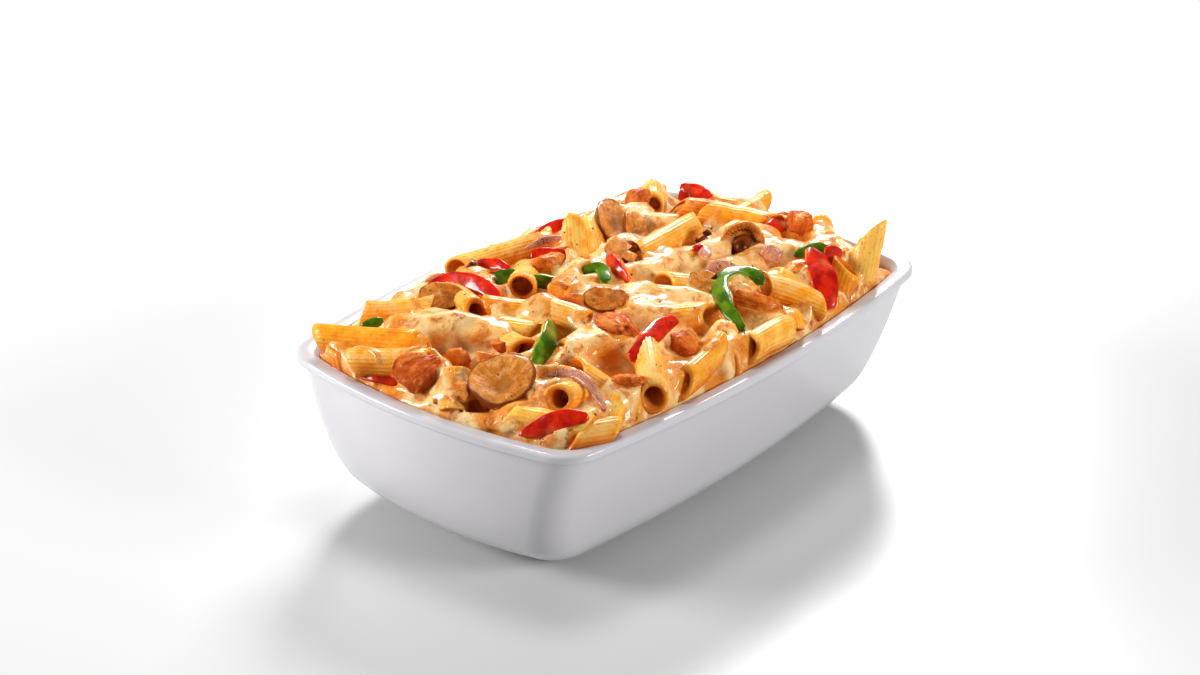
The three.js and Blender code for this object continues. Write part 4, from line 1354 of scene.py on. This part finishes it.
def in_sauce_and_shade(nodes, colour, strength=0.8):
    """The colour turned deep down between the pieces towards orange, partly sauce colour and partly painted
    shade, and darker lower still as painted shade.
    """
    lift = nodes.attribute("lift")
    return nodes.layers(colour, (lift, -7.0, -1.5, strength, 0, SAUCE_AND_SHADE), (lift, -10.0, -5.0, 0.7, 0, PIT_SHADE))


def cheese_material():
    """Cream where the cheese is thick, toasted where it stands up, and sauce colour with painted shade where
    it is sunk.
    """
    nodes = food_nodes("melted_cheese", coat=0.5, coat_roughness=0.07, scatter=0.15)
    high = nodes.attribute("high")
    cloud = nodes.noise(9)
    fine = nodes.noise(2.2, 4.0, 0.6)
    crumbs = nodes.noise(1.1, 4.0, 0.7)
    amount = nodes.math("ADD", nodes.attribute("thick"), nodes.ramp(cloud, 0.3, 0.7, -1.0, 0.9))
    cream = nodes.mix(nodes.ramp(cloud, 0.35, 0.7), CREAM, PALE_CREAM)
    thin = nodes.mix(fine, rgb(222, 122, 24), rgb(236, 156, 50))
    colour = nodes.mix(nodes.ramp(amount, -0.7, 1.3), thin, cream)
    blotch = nodes.ramp(nodes.noise(5.5, 5.0, 0.65, 0.6), 0.5, 0.62)
    toasted = nodes.product(blotch, nodes.ramp(high, -1.5, 2.5, 0.25, 1.0))
    colour = nodes.mix(nodes.product(toasted, 0.85), colour, rgb(214, 116, 32))
    dark = nodes.ramp(nodes.noise(3.2, 4.0, 0.65), 0.54, 0.68)
    colour = nodes.mix(nodes.product(toasted, dark, 0.9), colour, rgb(140, 60, 14))
    colour = nodes.layers(
        colour,
        # Where the skin is sunk: partly sauce colour and partly painted shade, then painted shade alone in
        # the deepest hollows.
        (high, -9.0, -4.0, 0.9, 0, SAUCE_AND_SHADE),
        (high, -11.0, -6.5, 0.85, 0, PIT_SHADE),
        (crumbs, 0.56, 0.72, 0, 0.4, rgb(206, 116, 34)),
        (crumbs, 0.46, 0.3, 0, 0.35, rgb(252, 232, 190)),
    )
    normal = nodes.bump(crumbs, 0.3, 0.0004, nodes.bump(fine, 0.4, 0.0008))
    return nodes.finish(colour, nodes.ramp(fine, 0.3, 0.7, 0.3, 0.5), normal)


def pasta_material():
    """Baked pasta with a creamy film on top, stains and specks, painted shade on the undersides and in the
    holes.
    """
    nodes = food_nodes("penne", coat=0.3, coat_roughness=0.12, scatter=0.12)
    cloud = nodes.noise(7)
    baked = nodes.math("ADD", nodes.attribute("tone"), nodes.ramp(cloud, 0.25, 0.75, -0.4, 0.4))
    facing = nodes.node("ShaderNodeNewGeometry").outputs["Normal"]
    upward = nodes.node("ShaderNodeSeparateXYZ", {0: facing}).outputs[2]
    colour = nodes.layers(
        rgb(250, 196, 88),
        (baked, 0.0, 0.55, 0, 1, rgb(242, 158, 30)),
        (baked, 0.5, 1.1, 0, 1, rgb(226, 116, 10)),
        (nodes.grain((1.0, 0.12, 1.0), 1.0), 0.5, 0.75, 0, 0.25, rgb(208, 106, 12)),
    )
    creamy = nodes.ramp(nodes.noise(6, 3.0, 0.6), 0.38, 0.58)
    film = nodes.product(nodes.attribute("film"), 0.9)
    creamy = nodes.product(creamy, nodes.ramp(upward, 0.0, 0.8), film)
    colour = nodes.layers(
        nodes.mix(creamy, colour, CREAM),
        # Painted shade: surfaces that face down are turned deeper orange.
        (upward, -0.6, 0.35, 0.6, 0, rgb(216, 100, 8)),
        (nodes.noise(1.7, 4.0, 0.65), 0.56, 0.68, 0, 0.6, rgb(206, 96, 14)),
        (nodes.noise(0.9, 2.0), 0.66, 0.74, 0, 0.6, rgb(140, 66, 18)),
    )
    # Painted shade inside the tubes, then the sauce tint and painted shade deep between the pieces.
    hole = nodes.product(nodes.attribute("hole"), 0.7)
    colour = in_sauce_and_shade(nodes, nodes.mix(hole, colour, rgb(196, 92, 10)))
    normal = nodes.bump(nodes.noise(0.8), 0.35, 0.0003)
    return nodes.finish(colour, nodes.ramp(cloud, 0.3, 0.7, 0.32, 0.48), normal)


def pepper_material(name, skin_colour, deep_colour, flesh_colour, edge_colour):
    """A shiny skin on one side and flesh on the other, with a smear of cheese."""
    nodes = food_nodes(name, coat=0.45, coat_roughness=0.12)
    cloud = nodes.noise(5)
    outer = nodes.mix(nodes.ramp(cloud, 0.35, 0.65), skin_colour, deep_colour)
    inner = nodes.mix(nodes.ramp(cloud, 0.4, 0.6), flesh_colour, edge_colour)
    shade = nodes.math("ADD", nodes.attribute("skin"), nodes.ramp(cloud, 0.2, 0.8, -0.08, 0.08))
    smear = nodes.noise(11, 3.0, 0.5)
    colour = nodes.layers(
        inner, (shade, 0.55, 0.9, 0, 1, outer), (smear, 0.55, 0.8, 0, 0.35, rgb(240, 168, 92))
    )
    # Sauce tint and painted shade deep between the pieces, weaker here.
    colour = in_sauce_and_shade(nodes, colour, 0.3)
    normal = nodes.bump(nodes.noise(1.6), 0.35, 0.0005)
    return nodes.finish(colour, nodes.ramp(cloud, 0.3, 0.7, 0.22, 0.38), normal)


def onion_material():
    """Purple skin in stripes on one side, pale flesh on the other, browned in places."""
    nodes = food_nodes("red_onion", coat=0.4, coat_roughness=0.1, scatter=0.1, depth=0.001)
    stripe = nodes.grain((0.12, 1.0, 1.0), 0.8)
    outer = nodes.mix(nodes.ramp(stripe, 0.42, 0.6), rgb(140, 48, 56), rgb(234, 176, 136))
    colour = nodes.layers(
        nodes.mix(stripe, rgb(226, 156, 120), rgb(246, 206, 172)),
        (nodes.attribute("skin"), 0.55, 0.9, 0, 1, outer),
        (nodes.noise(4), 0.5, 0.68, 0, 0.7, rgb(230, 150, 96)),
    )
    # Sauce tint and painted shade deep between the pieces.
    colour = in_sauce_and_shade(nodes, colour, 0.5)
    return nodes.finish(colour, 0.36, nodes.bump(stripe, 0.3, 0.0004))


def mushroom_material():
    """Roasted flesh with gills, pale and bruised spots, and a dark rim and middle."""
    nodes = food_nodes("mushroom", coat=0.4, coat_roughness=0.08)
    local = nodes.attribute("local", "Vector")
    outward = nodes.node("ShaderNodeSeparateXYZ", {0: local}).outputs[2]
    cloud = nodes.noise(4, 4.0, 0.6)
    gill = nodes.grain((1.0, 0.12, 0.0), 0.8)
    rim = nodes.mix(cloud, rgb(92, 36, 8), rgb(146, 70, 18))
    centre = nodes.math("ADD", outward, nodes.ramp(cloud, 0.2, 0.8, -0.35, 0.35))
    colour = nodes.layers(
        rgb(226, 150, 62),
        (cloud, 0.3, 0.7, 0, 1, rgb(196, 108, 30)),
        (gill, 0.45, 0.7, 0, 0.6, rgb(150, 66, 14)),
        (nodes.noise(3, 5.0, 0.7), 0.5, 0.62, 0, 0.35, rgb(240, 196, 136)),
        (nodes.noise(2.3, 5.0, 0.7), 0.56, 0.66, 0, 0.5, rgb(128, 58, 14)),
        (outward, 0.9, 0.97, 0, 1, rim),
        (centre, 0.1, 0.4, 0.55, 0, rgb(130, 60, 18)),
    )
    # Sauce tint and painted shade deep between the pieces.
    colour = in_sauce_and_shade(nodes, colour, 0.4)
    normal = nodes.bump(gill, 0.3, 0.0005, nodes.bump(nodes.noise(1.1, 4.0, 0.6), 0.5, 0.0005))
    return nodes.finish(colour, nodes.ramp(cloud, 0.3, 0.7, 0.25, 0.45), normal)


def chicken_material():
    """Roasted meat with fibres, painted highlights on its bumps and painted shade in its creases, and a crust
    that is burnt and pale in spots.
    """
    nodes = food_nodes("chicken", coat=0.1, coat_roughness=0.12)
    crease = nodes.attribute("crease")
    fibre = nodes.grain((0.3, 1.0, 1.0), 0.9, 4.0, 0.6)
    crust = nodes.noise(1.3, 5.0, 0.7)
    cloud = nodes.ramp(nodes.noise(5, 4.0, 0.6), 0.25, 0.75, -0.5, 0.5)
    roasted = nodes.math("ADD", nodes.attribute("tone"), cloud)
    colour = nodes.layers(
        rgb(236, 150, 64),
        (roasted, 0.0, 0.5, 0, 1, rgb(220, 108, 26)),
        (roasted, 0.45, 1.05, 0, 1, rgb(190, 76, 14)),
        (fibre, 0.52, 0.7, 0, 0.5, rgb(150, 54, 8)),
        (nodes.noise(3.5, 4.0, 0.65), 0.58, 0.7, 0, 0.6, rgb(236, 176, 106)),
        # Painted highlight on the raised bumps and painted shade in the creases.
        (crease, 0.4, 0.9, 0, 0.4, rgb(238, 160, 80)),
        (crease, -0.9, -0.2, 0.7, 0, rgb(120, 40, 8)),
    )
    colour = nodes.layers(
        # Sauce tint and painted shade deep between the pieces.
        in_sauce_and_shade(nodes, colour, 0.5),
        (crust, 0.55, 0.68, 0, 0.6, rgb(126, 44, 8)),
        (crust, 0.42, 0.3, 0, 0.5, rgb(240, 176, 96)),
    )
    normal = nodes.bump(crust, 0.7, 0.0009, nodes.bump(fibre, 0.7, 0.0008))
    return nodes.finish(colour, nodes.ramp(fibre, 0.3, 0.7, 0.45, 0.65), normal)


def herb_material():
    nodes = Nodes("herbs_and_crumbs", Roughness=0.6)
    tone = nodes.attribute("tone")
    cloud = nodes.noise(1.0, 2.0)
    green = nodes.mix(cloud, rgb(70, 60, 18), rgb(110, 92, 30))
    brown = nodes.mix(cloud, rgb(96, 44, 18), rgb(170, 92, 34))
    return nodes.finish(nodes.mix(nodes.ramp(tone, 0.4, 0.6), green, brown))


def floor_material():
    nodes = Nodes("pale_floor", Roughness=0.35, Specular_IOR_Level=0.35)
    cloud = nodes.noise(400, 1.0)
    return nodes.finish(nodes.mix(cloud, rgb(201, 201, 201), rgb(204, 204, 204)))


# ---- crumbs and herbs


FLAKES = 150
FLAKE_SIDES = 6
FLAKE_DROP = 40


def scatter_flakes(pieces, material):
    """Small dry flakes of herb and browned crumb, lying on whatever is under them."""
    depsgraph = bpy.context.evaluated_depsgraph_get()
    trees = [BVHTree.FromObject(piece, depsgraph) for piece in pieces]
    random = np.random.default_rng(11)
    turn = np.arange(FLAKE_SIDES) * math.pi / (FLAKE_SIDES / 2)
    shape = Shape()
    for _ in range(FLAKES):
        x = random.uniform(-100, 100)
        y = random.uniform(-64, 64)
        size = random.uniform(0.2, 0.5)
        tone = random.uniform()
        heading = random.uniform(0, 2 * math.pi)
        above = Vector((x, y, RIM + FLAKE_DROP)) * MM
        hits = [tree.ray_cast(above, Vector(DOWN)) for tree in trees]
        hits = [hit for hit in hits if hit[0] is not None]
        if not hits:
            continue
        spot, normal = (np.array(part) for part in max(hits, key=lambda hit: hit[0].z)[:2])
        spot = spot / MM - [0, 0, RIM]
        if normal[2] < 0.2:
            continue
        first = square_to(normal, (math.cos(heading), math.sin(heading), 0.01))
        reach = size * random.uniform(0.6, 1.3, FLAKE_SIDES)
        flat = np.outer(reach * np.cos(turn) * 1.5, first)
        flat = flat + np.outer(reach * np.sin(turn), np.cross(normal, first))
        rings = np.array([spot + flat - 0.15 * normal, spot + flat * 0.85 + 0.16 * normal])
        shape.add(with_hubs(rings), ring_faces(2, FLAKE_SIDES), tone=tone)
    shape.make("herbs_and_crumbs", material, "pasta_and_cheese")


# ---- the food


RED_LOOK = (rgb(216, 40, 8), rgb(168, 10, 4), rgb(232, 84, 20), rgb(236, 124, 50))
GREEN_LOOK = (rgb(92, 130, 12), rgb(52, 88, 6), rgb(150, 166, 44), rgb(196, 196, 96))

# Each kind of topping: its items, its builder, the seed of its first piece and its own settings.
# A piece's seed is SEED_STEP more than that of the piece before it.
SEED_STEP = 10
TOPPINGS = {
    "red_pepper": (RED_PEPPERS, build_strip, 1010, {"curl": 0.3}),
    "green_pepper": (GREEN_PEPPERS, build_strip, 1130, {"curl": 0.3}),
    "onion": (ONIONS, build_strip, 1190, {"curl": 0.8}),
    "mushroom": (MUSHROOMS, build_slice, 1240, {}),
    "mushroom_cap": ([CAP], build_cap, 70, {}),
    "chicken": (CHICKEN, build_chunk, 1330, {}),
}
SMALL_SEED = 1450
SMALL_BUILDERS = {"mushroom": (build_slice, {}), "chicken": (build_chunk, {"around": 40})}


def build_food():
    """Every piece of the food, in the order in which its seeds are counted."""
    penne = Shape()
    for index, item in enumerate(QUILLS):
        add_quill(penne, item, index)
    covered = [penne.make("penne", pasta_material(), "pasta_and_cheese"), melt(cheese_material())]
    brown = mushroom_material()
    looks = {
        "red_pepper": (pepper_material("red_pepper", *RED_LOOK), "red_pepper"),
        "green_pepper": (pepper_material("green_pepper", *GREEN_LOOK), "green_pepper"),
        "onion": (onion_material(), "red_onion"),
        "mushroom": (brown, "mushroom"),
        "mushroom_cap": (brown, "mushroom"),
        "chicken": (chicken_material(), "chicken"),
    }
    for kind, (items, build, first_seed, settings) in TOPPINGS.items():
        for number, item in enumerate(items):
            node = f"{kind}_{number + 1:02d}"
            seed = first_seed + SEED_STEP * number
            piece = build(item, seed, "fine_" + node, *looks[kind], **settings)
            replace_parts(piece, node)
            covered.append(piece)
    for number, (kind, item) in enumerate(SMALL_BITS):
        build, settings = SMALL_BUILDERS.get(kind, (build_strip, {}))
        name = f"small_{kind}_{number + 1:02d}"
        covered.append(build(item, SMALL_SEED + SEED_STEP * number, name, *looks[kind], **settings))
    bpy.context.view_layer.update()
    scatter_flakes(covered, herb_material())


# ---- stage, light and camera

STAGE_HALF = 6.0
VIEW_TURN = -141.03
LIGHT_AIM = (0, 0, 0.05)

# Each softbox: azimuth, elevation, distance, size, power, and whether it shows in reflections.
# Azimuth 0 is on the camera's side, and 90 to its right.
LIGHTS = {
    "back_softbox": (175, 33, 1.5, (0.5, 0.5), 25, True),
    "left_softbox": (-90, 18, 1.3, (0.6, 0.3), 20, True),
    "right_softbox": (64, 20, 1.4, (0.5, 0.3), 13, True),
    "top_softbox": (180, 84, 1.2, (0.4, 0.4), 5.5, False),
}

# The camera's place is in millimetres from the middle of the rim.
CAMERA_SPOT = (-616.53, -498.73, 362.86)
CAMERA_AIM = (0.69791, 0.57365, -0.42877)
CAMERA_LENS = 71.09


def build_floor():
    mesh = bpy.data.meshes.new("floor")
    corners = [(x * STAGE_HALF, y * STAGE_HALF, 0) for x, y in ((-1, -1), (1, -1), (1, 1), (-1, 1))]
    mesh.from_pydata(corners, [], [(0, 1, 2, 3)])
    mesh.materials.append(floor_material())
    floor = bpy.data.objects.new("floor", mesh)
    bpy.context.scene.collection.objects.link(floor)


def add_light(name, azimuth, elevation, distance, size, power, glossy):
    """A softbox aimed at the food."""
    light = bpy.data.lights.new(name, "AREA")
    light.shape = "RECTANGLE"
    light.size, light.size_y = size
    light.energy = power
    a = math.radians(azimuth + VIEW_TURN)
    e = math.radians(elevation)
    back = Vector((math.cos(a) * math.cos(e), math.sin(a) * math.cos(e), math.sin(e)))
    lamp = bpy.data.objects.new(name, light)
    lamp.location = Vector(LIGHT_AIM) + back * distance
    lamp.rotation_mode = "QUATERNION"
    lamp.rotation_quaternion = back.to_track_quat("Z", "Y")
    lamp.visible_glossy = glossy
    bpy.context.scene.collection.objects.link(lamp)


def build_stage():
    build_floor()
    world = bpy.data.worlds.new("studio")
    world.use_nodes = True
    background = world.node_tree.nodes["Background"]
    background.inputs["Color"].default_value = (1, 1, 1, 1)
    background.inputs["Strength"].default_value = 0.1
    bpy.context.scene.world = world
    for name, settings in LIGHTS.items():
        add_light(name, *settings)
    bpy.context.scene.view_settings.view_transform = "Standard"


def build_camera():
    data = bpy.data.cameras.new("camera")
    data.lens = CAMERA_LENS
    data.clip_end = 20
    camera = bpy.data.objects.new("camera", data)
    camera.location = (Vector(CAMERA_SPOT) + Vector((0, 0, RIM))) * MM
    camera.rotation_mode = "QUATERNION"
    camera.rotation_quaternion = Vector(CAMERA_AIM).to_track_quat("-Z", "Y")
    bpy.context.scene.collection.objects.link(camera)
    bpy.context.scene.camera = camera


build_dish(glaze_material())
build_food()
build_stage()
build_camera()
